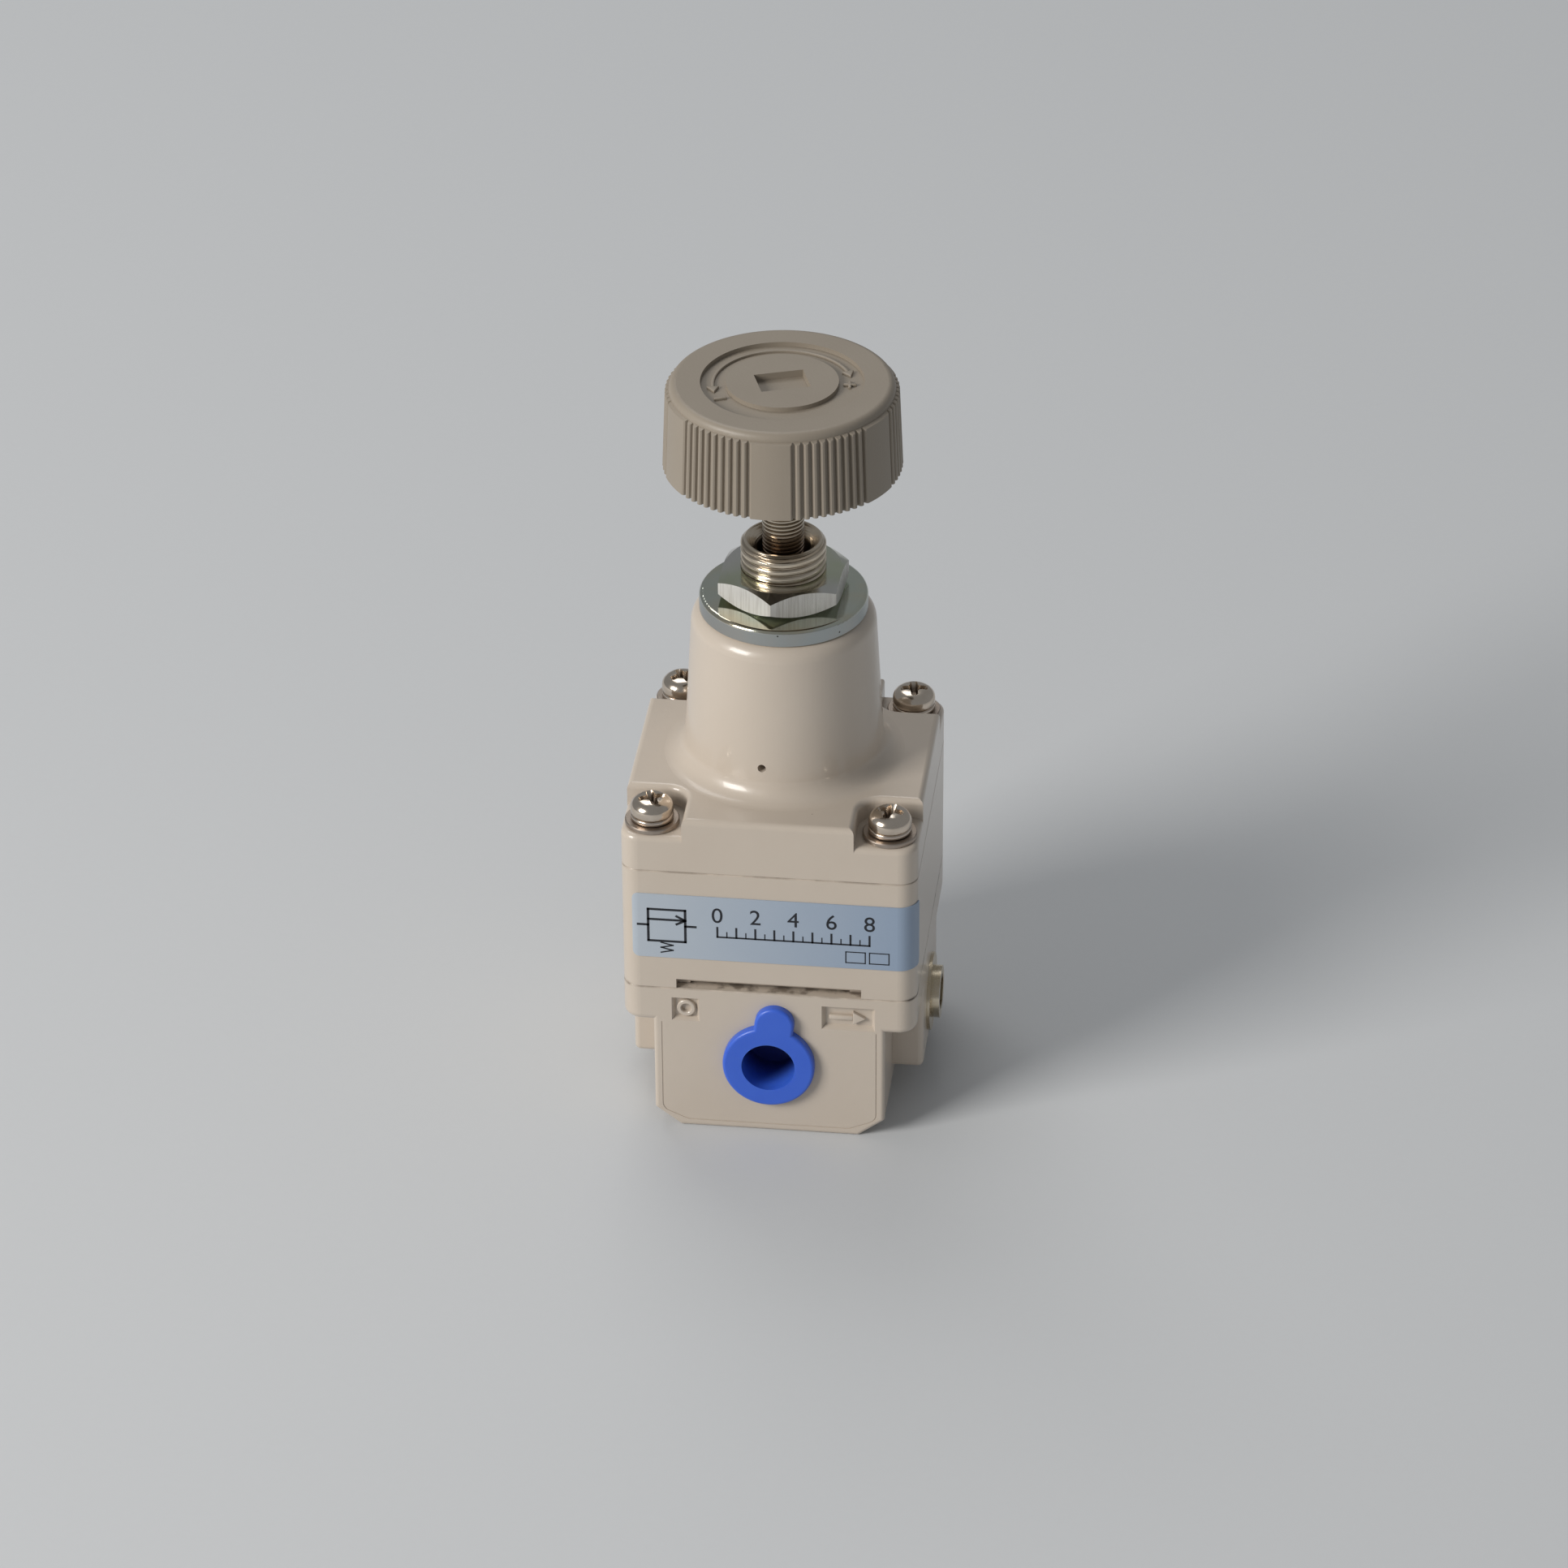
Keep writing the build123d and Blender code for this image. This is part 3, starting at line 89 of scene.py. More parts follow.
class Paint:
    """A material with one Principled shader, and the nodes that feed it."""

    def __init__(self, name, **constants):
        self.material = bpy.data.materials.new(name)
        self.material.use_nodes = True
        self.tree = self.material.node_tree
        self.shader = self.tree.nodes["Principled BSDF"]
        for socket, value in constants.items():
            self.shader.inputs[socket.replace("_", " ")].default_value = value
        self.place = self.add("TexCoord", output="Object")
        self.facing = self.add("TexCoord", output="Normal")

    def add(self, kind, settings=None, inputs=None, output=0):
        """Adds a node, sets it up, fills its sockets by number or name, and gives one output."""
        node = self.tree.nodes.new("ShaderNode" + kind)
        for name, value in (settings or {}).items():
            setattr(node, name, value)
        pairs = enumerate(inputs) if isinstance(inputs, list) else (inputs or {}).items()
        for name, value in pairs:
            if isinstance(value, Value):
                self.tree.links.new(value.socket, node.inputs[name])
            else:
                node.inputs[name].default_value = value
        return Value(self, node.outputs[output])

    def feed(self, socket, value):
        """Links a value into the shader."""
        self.tree.links.new(value.socket, self.shader.inputs[socket])

    def along(self, axis):
        """The place along X, Y or Z, in metres."""
        return self.add("SeparateXYZ", inputs=[self.place], output="XYZ".index(axis))

    def tilt(self, axis):
        """How much the surface faces along X, Y or Z, either way, from 0 to 1."""
        return self.add("SeparateXYZ", inputs=[self.facing], output="XYZ".index(axis)).maths("ABSOLUTE")

    def noise(self, scale, detail=2.0, rough=0.5, stretch=(1, 1, 1)):
        """Noise with features about 1/scale metres wide."""
        where = self.add("Mapping", inputs={"Vector": self.place, "Scale": stretch})
        return self.add("TexNoise", inputs={"Vector": where, "Scale": scale, "Detail": detail,
                                            "Roughness": rough})

    def specks(self, scale, size):
        """1 on small round specks, one in each cell of 1/scale metres, and 0 elsewhere."""
        far = self.add("TexVoronoi", inputs={"Vector": self.place, "Scale": scale}, output="Distance")
        return far.maths("LESS_THAN", size)

    def blend(self, factor, first, second):
        """Mixes two colours."""
        return self.add("Mix", {"data_type": "RGBA"}, {0: factor, 6: first, 7: second}, output=2)

    def coat(self, film, first, second, roughness, spread):
        """Feeds a colour between two tones, and a roughness that rises by spread, both along one film."""
        self.feed("Base Color", self.blend(film, first, second))
        self.feed("Roughness", film * spread + roughness)

    def bump(self, height, depth):
        """Feeds a height map, depth metres tall, into the shader's normal."""
        self.feed("Normal", self.add("Bump", inputs={"Distance": depth, "Height": height}))


def distance(first, second):
    """How far a place is from an axis, from its two offsets at right angles."""
    return (first * first + second * second).maths("SQRT")


def colour(red, green, blue):
    """A colour given as 0 to 255, in the linear values that a shader needs."""
    return tuple(((part / 255 + 0.055) / 1.055) ** 2.4 for part in (red, green, blue)) + (1,)


def dress(material, *nodes):
    """Gives loaded pieces their finish."""
    for node in nodes:
        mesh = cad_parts[node].data
        mesh.materials.clear()
        mesh.materials.append(material)


lower_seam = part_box("middle_body")[0].z
upper_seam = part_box("bonnet")[0].z
block_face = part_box("lower_body")[1].x
seam_core = 0.05 * MM
seam_reach = 0.17 * MM
vent_level = upper_seam + 11.3 * MM
vent_turn = radians(-6.5)
vent_radius = 0.5 * MM
vent_edge = 0.08 * MM
grime = colour(74, 58, 44)
slot_grime = colour(96, 84, 72)
speck_brown = colour(92, 78, 64)
vent_shade = colour(38, 30, 24)

enamel = Paint("cast_enamel", IOR=1.5, Coat_Weight=0.35, Coat_Roughness=0.08)
height = enamel.along("Z")
depth_along = enamel.along("Y")
cloud = enamel.noise(90, 3)
enamel_tone = enamel.blend(cloud, colour(193, 180, 165), colour(200, 188, 174))
off_lower_seam = (height - lower_seam).maths("ABSOLUTE")
off_upper_seam = (height - upper_seam).maths("ABSOLUTE")
seam_line = off_lower_seam.maths("MINIMUM", off_upper_seam).between(seam_reach, seam_core)
on_wall = enamel.tilt("Z").between(0.9, 0.5)
seam_dirt = seam_line * on_wall * enamel.noise(420, 3).between(0.36, 0.6)
enamel_tone = enamel.blend(seam_dirt * 0.8, enamel_tone, grime)
under_slot_top = height.between(lower_seam + 0.4 * MM, lower_seam + 0.1 * MM)
over_slot_floor = height.between(lower_seam - 0.3 * MM, lower_seam - 0.1 * MM)
behind_face = depth_along.between(-block_face + 0.15 * MM, -block_face + 0.5 * MM)
slot_floor = under_slot_top * over_slot_floor * behind_face
slot_dirt = slot_floor * enamel.noise(600, 3).between(0.45, 0.62) * 0.75
enamel_tone = enamel.blend(slot_dirt, enamel_tone, slot_grime)
enamel_tone = enamel.blend(enamel.specks(170, 0.016), enamel_tone, speck_brown)
vent_side = enamel.along("X") * cos(vent_turn) + depth_along * sin(vent_turn)
off_vent = distance(vent_side, height - vent_level)
vent_dark = off_vent.between(vent_radius, vent_radius - vent_edge) * depth_along.between(0, -1 * MM)
enamel.feed("Base Color", enamel.blend(vent_dark * 0.85, enamel_tone, vent_shade))
enamel.feed("Roughness", cloud * 0.1 + 0.27)
enamel.bump(enamel.noise(1400, 2) + enamel.noise(450, 1) * 1.5, 0.01 * MM)
dress(enamel.material, "lower_body", "middle_body", "bonnet")


# Supply valve, nozzle and relief parts inside. Turned from brass bar, with fine lathe rings and a dull,
# handled tone. They are screwed or pressed into the castings and plates.
brass = Paint("turned_brass", Metallic=1.0)
brass.coat(brass.noise(300, 3), colour(202, 164, 96), colour(178, 138, 78), 0.22, 0.2)
brass.bump(brass.noise(9000, 1, stretch=(0.02, 0.02, 1)), 0.004 * MM)
dress(brass.material, "valve_guide", "main_valve", "relief_post", "clamp_ring", "nozzle", "fixed_orifice",
      "flapper", "post_nut", "stud_nut")


# Diaphragm plates and spring seats. Stamped from aluminium sheet, with a fine grain and a satin surface, and
# clamped on both sides of the diaphragms.
aluminium = Paint("stamped_aluminium", Metallic=1.0)
aluminium_grain = aluminium.noise(2500, 2, stretch=(1, 0.06, 1))
aluminium_tone = aluminium.blend(aluminium.noise(200, 3), colour(192, 193, 196), colour(170, 172, 176))
aluminium.feed("Base Color", aluminium_tone)
aluminium.feed("Roughness", aluminium_grain * 0.2 + 0.3)
aluminium.bump(aluminium_grain, 0.004 * MM)
dress(aluminium.material, "lower_plate", "diaphragm_spacer", "pilot_plate", "lower_spring_seat",
      "upper_spring_seat")


# Diaphragms, valve seal and rings. Black rubber, moulded on cloth in the diaphragms, matt and a little dusty.
# The castings clamp the diaphragms by their rims.
rubber = Paint("black_rubber")
rubber.coat(rubber.noise(260, 4), colour(26, 26, 28), colour(44, 43, 43), 0.5, 0.25)
rubber.bump(rubber.noise(3500, 2), 0.01 * MM)
dress(rubber.material, "main_diaphragm", "pilot_diaphragm", "control_diaphragm", "valve_seal",
      "guide_o_ring", "gauge_seal_left", "gauge_seal_right")


# Flat washers under the cover screws. Stamped from steel sheet with a dull zinc coat, seated on the ledges of
# the bonnet's corner pockets.
def alone(piece):
    """Selects one piece only, and makes it the active one."""
    bpy.ops.object.select_all(action="DESELECT")
    piece.select_set(True)
    bpy.context.view_layer.objects.active = piece


def choose(piece, kind, test):
    """Opens a piece for editing, with those of its points, edges or faces selected that pass the test."""
    alone(piece)
    bpy.ops.object.mode_set(mode="EDIT")
    bpy.ops.mesh.select_mode(type=kind)
    bpy.ops.mesh.select_all(action="DESELECT")
    bpy.ops.object.mode_set(mode="OBJECT")
    parts = {"VERT": piece.data.vertices, "EDGE": piece.data.edges, "FACE": piece.data.polygons}[kind]
    for part in parts:
        part.select = test(part)
    bpy.ops.object.mode_set(mode="EDIT")


def choose_all(piece):
    """Opens a piece for editing, with all of it selected."""
    choose(piece, "VERT", lambda point: True)


def close_up(merge, fill=True):
    """Merges the doubles of the piece in edit mode, fills its holes, turns its faces out and ends editing."""
    bpy.ops.mesh.select_all(action="SELECT")
    bpy.ops.mesh.remove_doubles(threshold=merge * MM)
    if fill:
        bpy.ops.mesh.fill_holes(sides=0)
    bpy.ops.mesh.normals_make_consistent(inside=False)
    bpy.ops.object.mode_set(mode="OBJECT")


def turned(name, steps, sides=64):
    """A turned shape: a ring at the first radius and height, extruded to each of the next, ends filled."""
    (radius, level), *others = [(reach * MM, rise * MM) for reach, rise in steps]
    bpy.ops.mesh.primitive_circle_add(vertices=sides, radius=radius, location=(0, 0, level))
    piece = bpy.context.object
    piece.name = name
    bpy.ops.object.transform_apply()
    choose_all(piece)
    for next_radius, next_level in others:
        share = next_radius / radius
        bpy.ops.mesh.extrude_edges_move(TRANSFORM_OT_translate={"value": (0, 0, next_level - level)})
        bpy.ops.transform.resize(value=(share, share, 1), center_override=(0, 0, next_level))
        radius, level = next_radius, next_level
    close_up(coarse_merge)
    return piece


def smooth(piece, angle=35):
    """Smooth shading, apart from edges sharper than the angle."""
    alone(piece)
    bpy.ops.object.shade_smooth_by_angle(angle=radians(angle))


def settle(piece, material, body, slot, *nodes):
    """Gives a new piece its finish, its body and the loaded nodes that it stands for."""
    piece.data.materials.clear()
    piece.data.materials.append(material)
    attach(piece, body)
    if nodes:
        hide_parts(*nodes)


def to_corners(master, name, turns):
    """Puts the piece made on the axis at the four screw places, each copy turned by its own angle."""
    pieces = []
    for number, turn in enumerate(turns):
        alone(master)
        bpy.ops.object.duplicate()
        copy = bpy.context.object
        copy.name = name + "_" + str(number + 1)
        copy.rotation_euler.z = radians(turn)
        side, depth = (-1, 1)[number % 2], (-1, 1)[number // 2]
        copy.location = (side * screw_place * MM, depth * screw_place * MM, 0)
        bpy.ops.object.transform_apply()
        pieces.append(copy)
    bpy.data.objects.remove(master)
    return pieces


fine_merge = 0.0005
coarse_merge = 0.001
washer_bore = 1.6
washer_radius = 3.2
washer_edge = 0.1
screw_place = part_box("flat_washers")[1].x / MM - washer_radius
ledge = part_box("flat_washers")[0].z / MM
flat_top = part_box("flat_washers")[1].z / MM
flat_master = turned("flat_master", [
    (washer_bore, ledge), (washer_radius - washer_edge, ledge), (washer_radius, ledge + washer_edge),
    (washer_radius, flat_top - washer_edge), (washer_radius - washer_edge, flat_top),
    (washer_bore, flat_top), (washer_bore, ledge)])
smooth(flat_master)
dull_zinc = Paint("dull_zinc", Metallic=1.0)
dull_zinc.coat(dull_zinc.noise(500, 3), colour(188, 176, 164), colour(152, 138, 126), 0.3, 0.2)
dull_zinc.bump(dull_zinc.noise(4000, 2), 0.004 * MM)
for washer in to_corners(flat_master, "flat_washer", (0, 0, 0, 0)):
    settle(washer, dull_zinc.material, "housing", "fastener_zinc", "flat_washers")


# Spring washers. Square steel wire coiled into a split ring, a little open at the gap, and zinc-plated
# bright. One is squeezed under each screw head.
def ring_section(radius, level, width, rise, rounding, segments):
    """The rounded outline of a ring's section, upright at a radius, to be swept round the axis."""
    bpy.ops.mesh.primitive_plane_add(size=1, rotation=(pi / 2, 0, 0), location=(radius * MM, 0, level * MM))
    piece = bpy.context.object
    piece.scale = (width * MM, rise * MM, 1)
    bpy.ops.object.transform_apply()
    choose_all(piece)
    bpy.ops.mesh.bevel(offset=rounding * MM, segments=segments, affect="VERTICES")
    bpy.ops.mesh.select_all(action="SELECT")
    bpy.ops.mesh.delete(type="ONLY_FACE")
    bpy.ops.object.mode_set(mode="OBJECT")
    return piece


def sweep(piece, angle, steps, rise=0.0, turns=1):
    """Carries an outline round the axis, rising as it goes, and leaves the piece open for editing."""
    carried = piece.modifiers.new("sweep", "SCREW")
    carried.angle = radians(angle)
    carried.screw_offset = rise * MM
    carried.iterations = turns
    carried.steps = steps
    carried.render_steps = steps
    bpy.ops.object.modifier_apply(modifier="sweep")
    choose_all(piece)


spring_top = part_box("spring_washers")[1].z / MM
ring_width = 0.95
ring_middle = 2.075
ring_lift = 0.12
ring_angle = 346
wire_height = spring_top - flat_top - ring_lift
wire_rounding = 0.24
wire_middle = flat_top + wire_height / 2
spring_master = ring_section(ring_middle, wire_middle, ring_width, wire_height, wire_rounding, 4)
sweep(spring_master, ring_angle, 56, rise=ring_lift)
close_up(coarse_merge)
smooth(spring_master)
bright_zinc = Paint("bright_zinc", Metallic=1.0)
bright_zinc.coat(bright_zinc.noise(420, 3), colour(218, 206, 194), colour(188, 173, 158), 0.14, 0.16)
bright_zinc.bump(bright_zinc.noise(3000, 2), 0.003 * MM)
for washer in to_corners(spring_master, "spring_washer", (150, 30, 60, 130)):
    settle(washer, bright_zinc.material, "housing", "fastener_zinc", "spring_washers")


# Setting spring, valve spring and thrust ball. Oiled spring steel, drawn along the wire. Each spring stands
# on a fixed seat, and its coils are copied as they are and fixed to the housing.
setting_travel = 7.0
valve_travel = 0.8
steel = Paint("spring_steel", Metallic=1.0)
steel.coat(steel.noise(350, 3), colour(128, 128, 132), colour(92, 90, 90), 0.2, 0.2)
steel.bump(steel.noise(5000, 1), 0.003 * MM)
dress(steel.material, "thrust_ball")
for node, joint, travel in (("setting_spring", "adjuster_travel", setting_travel),
                            ("valve_spring", "valve_lift", valve_travel)):
    coils = bpy.data.objects.new(node + "_coils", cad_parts[node].data.copy())
    bpy.context.collection.objects.link(coils)
    choose_all(coils)
    bpy.ops.mesh.remove_doubles(threshold=fine_merge * MM)
    bpy.ops.object.mode_set(mode="OBJECT")
    smooth(coils)
    settle(coils, steel.material, "housing", "spring_steel", node)
    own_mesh(coils)


# Cover screws. Four nickel-plated steel screws with pan heads, and a cross recess pressed in each. They hold
# the stack of castings together, and each was run down to a turn of its own.
screw_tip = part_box("cover_screws")[0].z / MM
shank_radius = 1.5
tip_chamfer = 0.4
head_radius = 2.55
head_rim = 0.7
head_height = 2.0
crown_radius = 0.9
crown_steps = 7
seat_edge = ((2.4, 0), (2.5, 0.04), (head_radius, 0.14))
head_outline = [
    (shank_radius - tip_chamfer, screw_tip), (shank_radius, screw_tip + tip_chamfer),
    (shank_radius, spring_top)]
head_outline += [(reach, spring_top + rise) for reach, rise in seat_edge]
for step in range(crown_steps + 1):
    turn = radians(90 * step / crown_steps)
    head_outline.append((crown_radius + (head_radius - crown_radius) * cos(turn),
                         spring_top + head_rim + (head_height - head_rim) * sin(turn)))
screw_master = turned("screw_master", head_outline, sides=72)

recess_width = 0.92
recess_span = 3.5
recess_depth = 1.3
recess_taper = 0.55
recess_roundings = {"between two arms": 0.4, "end of an arm": 0.28}
recess_top = spring_top + head_height + 0.1
recess_middle = recess_top - recess_depth / 2
bpy.ops.mesh.primitive_cube_add(size=1, location=(0, 0, recess_middle * MM))
cutter = bpy.context.object
cutter.scale = (recess_width * MM, recess_width * MM, recess_depth * MM)
bpy.ops.object.transform_apply()
choose(cutter, "FACE", lambda face: abs(face.normal.z) < 0.5)
arm_length = (recess_span - recess_width) / 2
bpy.ops.mesh.extrude_faces_move(TRANSFORM_OT_shrink_fatten={"value": arm_length * MM})
bpy.ops.object.mode_set(mode="OBJECT")


def where_upright(edge):
    """Where an upright edge of the cross is, or None for an edge that isn't upright."""
    first, second = (cutter.data.vertices[index].co for index in edge.vertices)
    if abs(first.z - second.z) < 0.1 * MM:
        return None
    far = hypot((first.x + second.x) / 2, (first.y + second.y) / 2) > recess_width * MM
    return "end of an arm" if far else "between two arms"


for spot, rounding in recess_roundings.items():
    choose(cutter, "EDGE", lambda edge: where_upright(edge) == spot)
    bpy.ops.mesh.bevel(offset=rounding * MM, segments=4)
    bpy.ops.object.mode_set(mode="OBJECT")
choose(cutter, "VERT", lambda point: point.co.z < recess_middle * MM)
bpy.ops.transform.resize(value=(recess_taper, recess_taper, 1), center_override=(0, 0, recess_top * MM))
bpy.ops.mesh.select_all(action="SELECT")
bpy.ops.mesh.normals_make_consistent(inside=False)
bpy.ops.object.mode_set(mode="OBJECT")
recess = screw_master.modifiers.new("recess", "BOOLEAN")
recess.operation = "DIFFERENCE"
recess.object = cutter
recess.solver = "EXACT"
alone(screw_master)
bpy.ops.object.modifier_apply(modifier="recess")
bpy.data.objects.remove(cutter)
smooth(screw_master, 32)

shade_top = spring_top + head_height - 0.25
shade_full = spring_top + 1.15
shade_reach = 1.95
shade_inside = 1.6
recess_shade = colour(84, 68, 54)
nickel = Paint("nickel_head", Metallic=1.0)
across = nickel.along("X").maths("ABSOLUTE") - screw_place * MM
along = nickel.along("Y").maths("ABSOLUTE") - screw_place * MM
below_crown = nickel.along("Z").between(shade_top * MM, shade_full * MM)
in_recess = below_crown * distance(across, along).between(shade_reach * MM, shade_inside * MM)
nickel_film = nickel.noise(600, 3)
nickel_tone = nickel.blend(nickel_film, colour(226, 214, 200), colour(196, 181, 164))
nickel.feed("Base Color", nickel.blend(in_recess * 0.7, nickel_tone, recess_shade))
nickel.feed("Roughness", nickel_film * 0.14 + 0.12 + in_recess * 0.25)
nickel.bump(nickel.noise(2600, 2), 0.004 * MM)
for screw in to_corners(screw_master, "cover_screw", (22, -12, 38, 8)):
    settle(screw, nickel.material, "housing", "fastener_zinc", "cover_screws")


# Panel bushing. Turned brass with a nickel coat: a flange under the bonnet's roof, a fine thread outside for
# the panel nut, and a bore that opens in a counterbore and a countersunk mouth at the top.
def thread(name, crest, depth, pitch, low, high):
    """A screw thread with flat crests, a little longer than from low to high, made by sweeping one turn."""
    # Each step of the outline goes out by a share of the depth, and up by a share of the pitch.
    outline_steps = ((0, 0.06), (0.9, 0.2), (0.1, 0.05), (0, 0.12), (0, 0.14), (0, 0.12), (-0.1, 0.05),
                     (-0.9, 0.2), (0, 0.06))
    start = ((crest - depth) * MM, 0, (low - pitch) * MM)
    bpy.ops.mesh.primitive_plane_add(size=0.1 * MM, location=start)
    piece = bpy.context.object
    piece.name = name
    bpy.ops.object.transform_apply()
    choose_all(piece)
    bpy.ops.mesh.merge(type="CENTER")
    for outward, upward in outline_steps:
        bpy.ops.mesh.extrude_vertices_move(TRANSFORM_OT_translate={
            "value": (outward * depth * MM, 0, upward * pitch * MM)})
    bpy.ops.object.mode_set(mode="OBJECT")
    sweep(piece, 360, 72, rise=pitch, turns=int((high - low) / pitch) + 3)
    bpy.ops.mesh.remove_doubles(threshold=coarse_merge * MM)
    bpy.ops.object.mode_set(mode="OBJECT")
    return piece


def trim(piece, low, high):
    """Cuts off what lies above and below two levels, and leaves the cuts open."""
    for level, side in ((high, 1), (low, -1)):
        choose_all(piece)
        bpy.ops.mesh.bisect(plane_co=(0, 0, level * MM), plane_no=(0, 0, side), clear_outer=True,
                            threshold=0.0001 * MM)
        bpy.ops.object.mode_set(mode="OBJECT")


def open_ends(piece):
    """Takes the flat fills out of the ends of a turned shape."""
    choose(piece, "FACE", lambda face: len(face.vertices) > 8)
    bpy.ops.mesh.delete(type="ONLY_FACE")
    bpy.ops.object.mode_set(mode="OBJECT")


def join(pieces):
    """Joins pieces into the first."""
    bpy.ops.object.select_all(action="DESELECT")
    for piece in pieces:
        piece.select_set(True)
    bpy.context.view_layer.objects.active = pieces[0]
    bpy.ops.object.join()
    return pieces[0]


def fill_level(piece, level):
    """Fills the flat between the open edge loops at a level."""
    faces_at = {}
    for face in piece.data.polygons:
        for key in face.edge_keys:
            faces_at[key] = faces_at.get(key, 0) + 1

    def on_open_loop(edge):
        heights = [piece.data.vertices[index].co.z for index in edge.vertices]
        off_level = max(abs(rise - level * MM) for rise in heights)
        return faces_at.get(edge.key) == 1 and off_level < 0.002 * MM

    choose(piece, "EDGE", on_open_loop)
    bpy.ops.mesh.fill()
    bpy.ops.object.mode_set(mode="OBJECT")


def join_thread(pieces, low, high):
    """Joins a trimmed thread to the plain surfaces beside it, and closes the flats at its two levels."""
    piece = join(pieces)
    fill_level(piece, high)
    fill_level(piece, low)
    bpy.ops.object.mode_set(mode="EDIT")
    close_up(fine_merge, fill=False)
    smooth(piece, 28)
    return piece


bushing_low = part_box("panel_bushing")[0].z / MM
bushing_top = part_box("panel_bushing")[1].z / MM
flange_radius = 6.8
flange_edge = 0.2
flange_top = bushing_low + 1.4
thread_crest = 5.0
thread_depth = 0.24
thread_pitch = 1.0
thread_start = flange_top + 0.6
neck_radius = 4.3
rim_chamfer = 0.5
mouth_radius = 4.3
mouth_depth = 1.15
mouth_foot = 3.2
mouth_rounding = 0.15
counterbore_radius = 3.15
counterbore_depth = 5.0
bore_radius = 2.5
bushing = thread("threaded_bushing", thread_crest, thread_depth, thread_pitch, thread_start, bushing_top)
for point in bushing.data.vertices:
    reach = hypot(point.co.x, point.co.y)
    limit = thread_crest * MM - max(0, point.co.z - (bushing_top - rim_chamfer) * MM)
    if reach > limit:
        point.co.x *= limit / reach
        point.co.y *= limit / reach
trim(bushing, thread_start, bushing_top)
bore = turned("bushing_bore", [
    (mouth_radius, bushing_top), (mouth_foot, bushing_top - mouth_depth),
    (counterbore_radius, bushing_top - mouth_depth - mouth_rounding),
    (counterbore_radius, bushing_top - counterbore_depth), (bore_radius, bushing_top - counterbore_depth),
    (bore_radius, bushing_low), (flange_radius - flange_edge, bushing_low),
    (flange_radius, bushing_low + flange_edge), (flange_radius, flange_top), (neck_radius, flange_top),
    (neck_radius, thread_start)], sides=72)
open_ends(bore)
bushing = join_thread([bushing, bore], thread_start, bushing_top)

threaded_nickel = Paint("threaded_nickel", Metallic=1.0)
reach = distance(threaded_nickel.along("X"), threaded_nickel.along("Y"))
# Painted shade: the thread roots turn brown, and the bore below the mouth turns near black and rougher.
shaded_root = reach.between(4.92 * MM, 4.77 * MM) * reach.between(4.55 * MM, 4.7 * MM)
shaded_bore = reach.between(3.4 * MM, 3.1 * MM)
plate_film = threaded_nickel.noise(380, 3)
plate_tone = threaded_nickel.blend(plate_film, colour(226, 214, 196), colour(200, 184, 162))
plate_tone = threaded_nickel.blend(shaded_root * 0.5, plate_tone, colour(92, 74, 52))
plate_tone = threaded_nickel.blend(shaded_bore * 0.9, plate_tone, colour(46, 32, 22))
threaded_nickel.feed("Base Color", plate_tone)
threaded_nickel.feed("Roughness", plate_film * 0.12 + 0.14 + shaded_bore * 0.3)
threaded_nickel.bump(threaded_nickel.noise(9000, 1, stretch=(0.03, 0.03, 1)), 0.045 * MM)
settle(bushing, threaded_nickel.material, "housing", "bushing_metal", "panel_bushing")


# Panel washer and nut. Bright zinc-plated steel, screwed down on the bonnet. The washer's faces are nearly
# mirrors, and the nut's flats are ground down the height, which leaves fine upright lines.
ground = Paint("ground_zinc", Metallic=1.0)
on_flat = ground.tilt("Z").between(0.3, 0.1)
lines = ground.noise(5200, 2, 0.6, stretch=(1, 1, 0.03))
rake = ground.noise(15000, 1)
ground_film = ground.noise(300, 3)
ground_tint = ground.noise(120, 2).between(0.38, 0.62) * (1 - on_flat)
ground_tone = ground.blend(ground_film, colour(218, 216, 210), colour(190, 188, 184))
ground_tone = ground.blend(ground_tint * 0.7, ground_tone, colour(186, 194, 160))
ground_tone = ground.blend(on_flat * lines.between(0.45, 0.75) * 0.45, ground_tone, colour(128, 118, 104))
ground.feed("Base Color", ground_tone)
ground.feed("Metallic", 1 - on_flat * 0.75)
ground.feed("Roughness", ground_film * 0.08 + 0.1 + on_flat * 0.3 + on_flat * lines * 0.12)
ground.bump((lines + rake * 3) * on_flat, 0.012 * MM)
dress(ground.material, "panel_nut")

mirror = Paint("bright_washer", Metallic=1.0)
wipe = mirror.noise(160, 3)
# Painted reflection: faces that look sideways, round the rim, are painted a darker blue-grey.
on_rim = mirror.tilt("Z").between(0.5, 0.1)
mirror_tint = mirror.noise(150, 2).between(0.45, 0.7)
mirror_tone = mirror.blend(wipe, colour(206, 206, 198), colour(180, 190, 172))
mirror_tone = mirror.blend(mirror_tint * 0.6, mirror_tone, colour(214, 192, 158))
mirror_tone = mirror.blend(on_rim * 0.7, mirror_tone, colour(158, 164, 170))
mirror_tone = mirror.blend(mirror.specks(260, 0.03), mirror_tone, colour(58, 50, 42))
mirror.feed("Base Color", mirror_tone)
mirror.feed("Roughness", wipe * 0.08 + 0.09 + on_rim * 0.2)
mirror.bump(mirror.noise(500, 2), 0.006 * MM)
dress(mirror.material, "panel_washer")
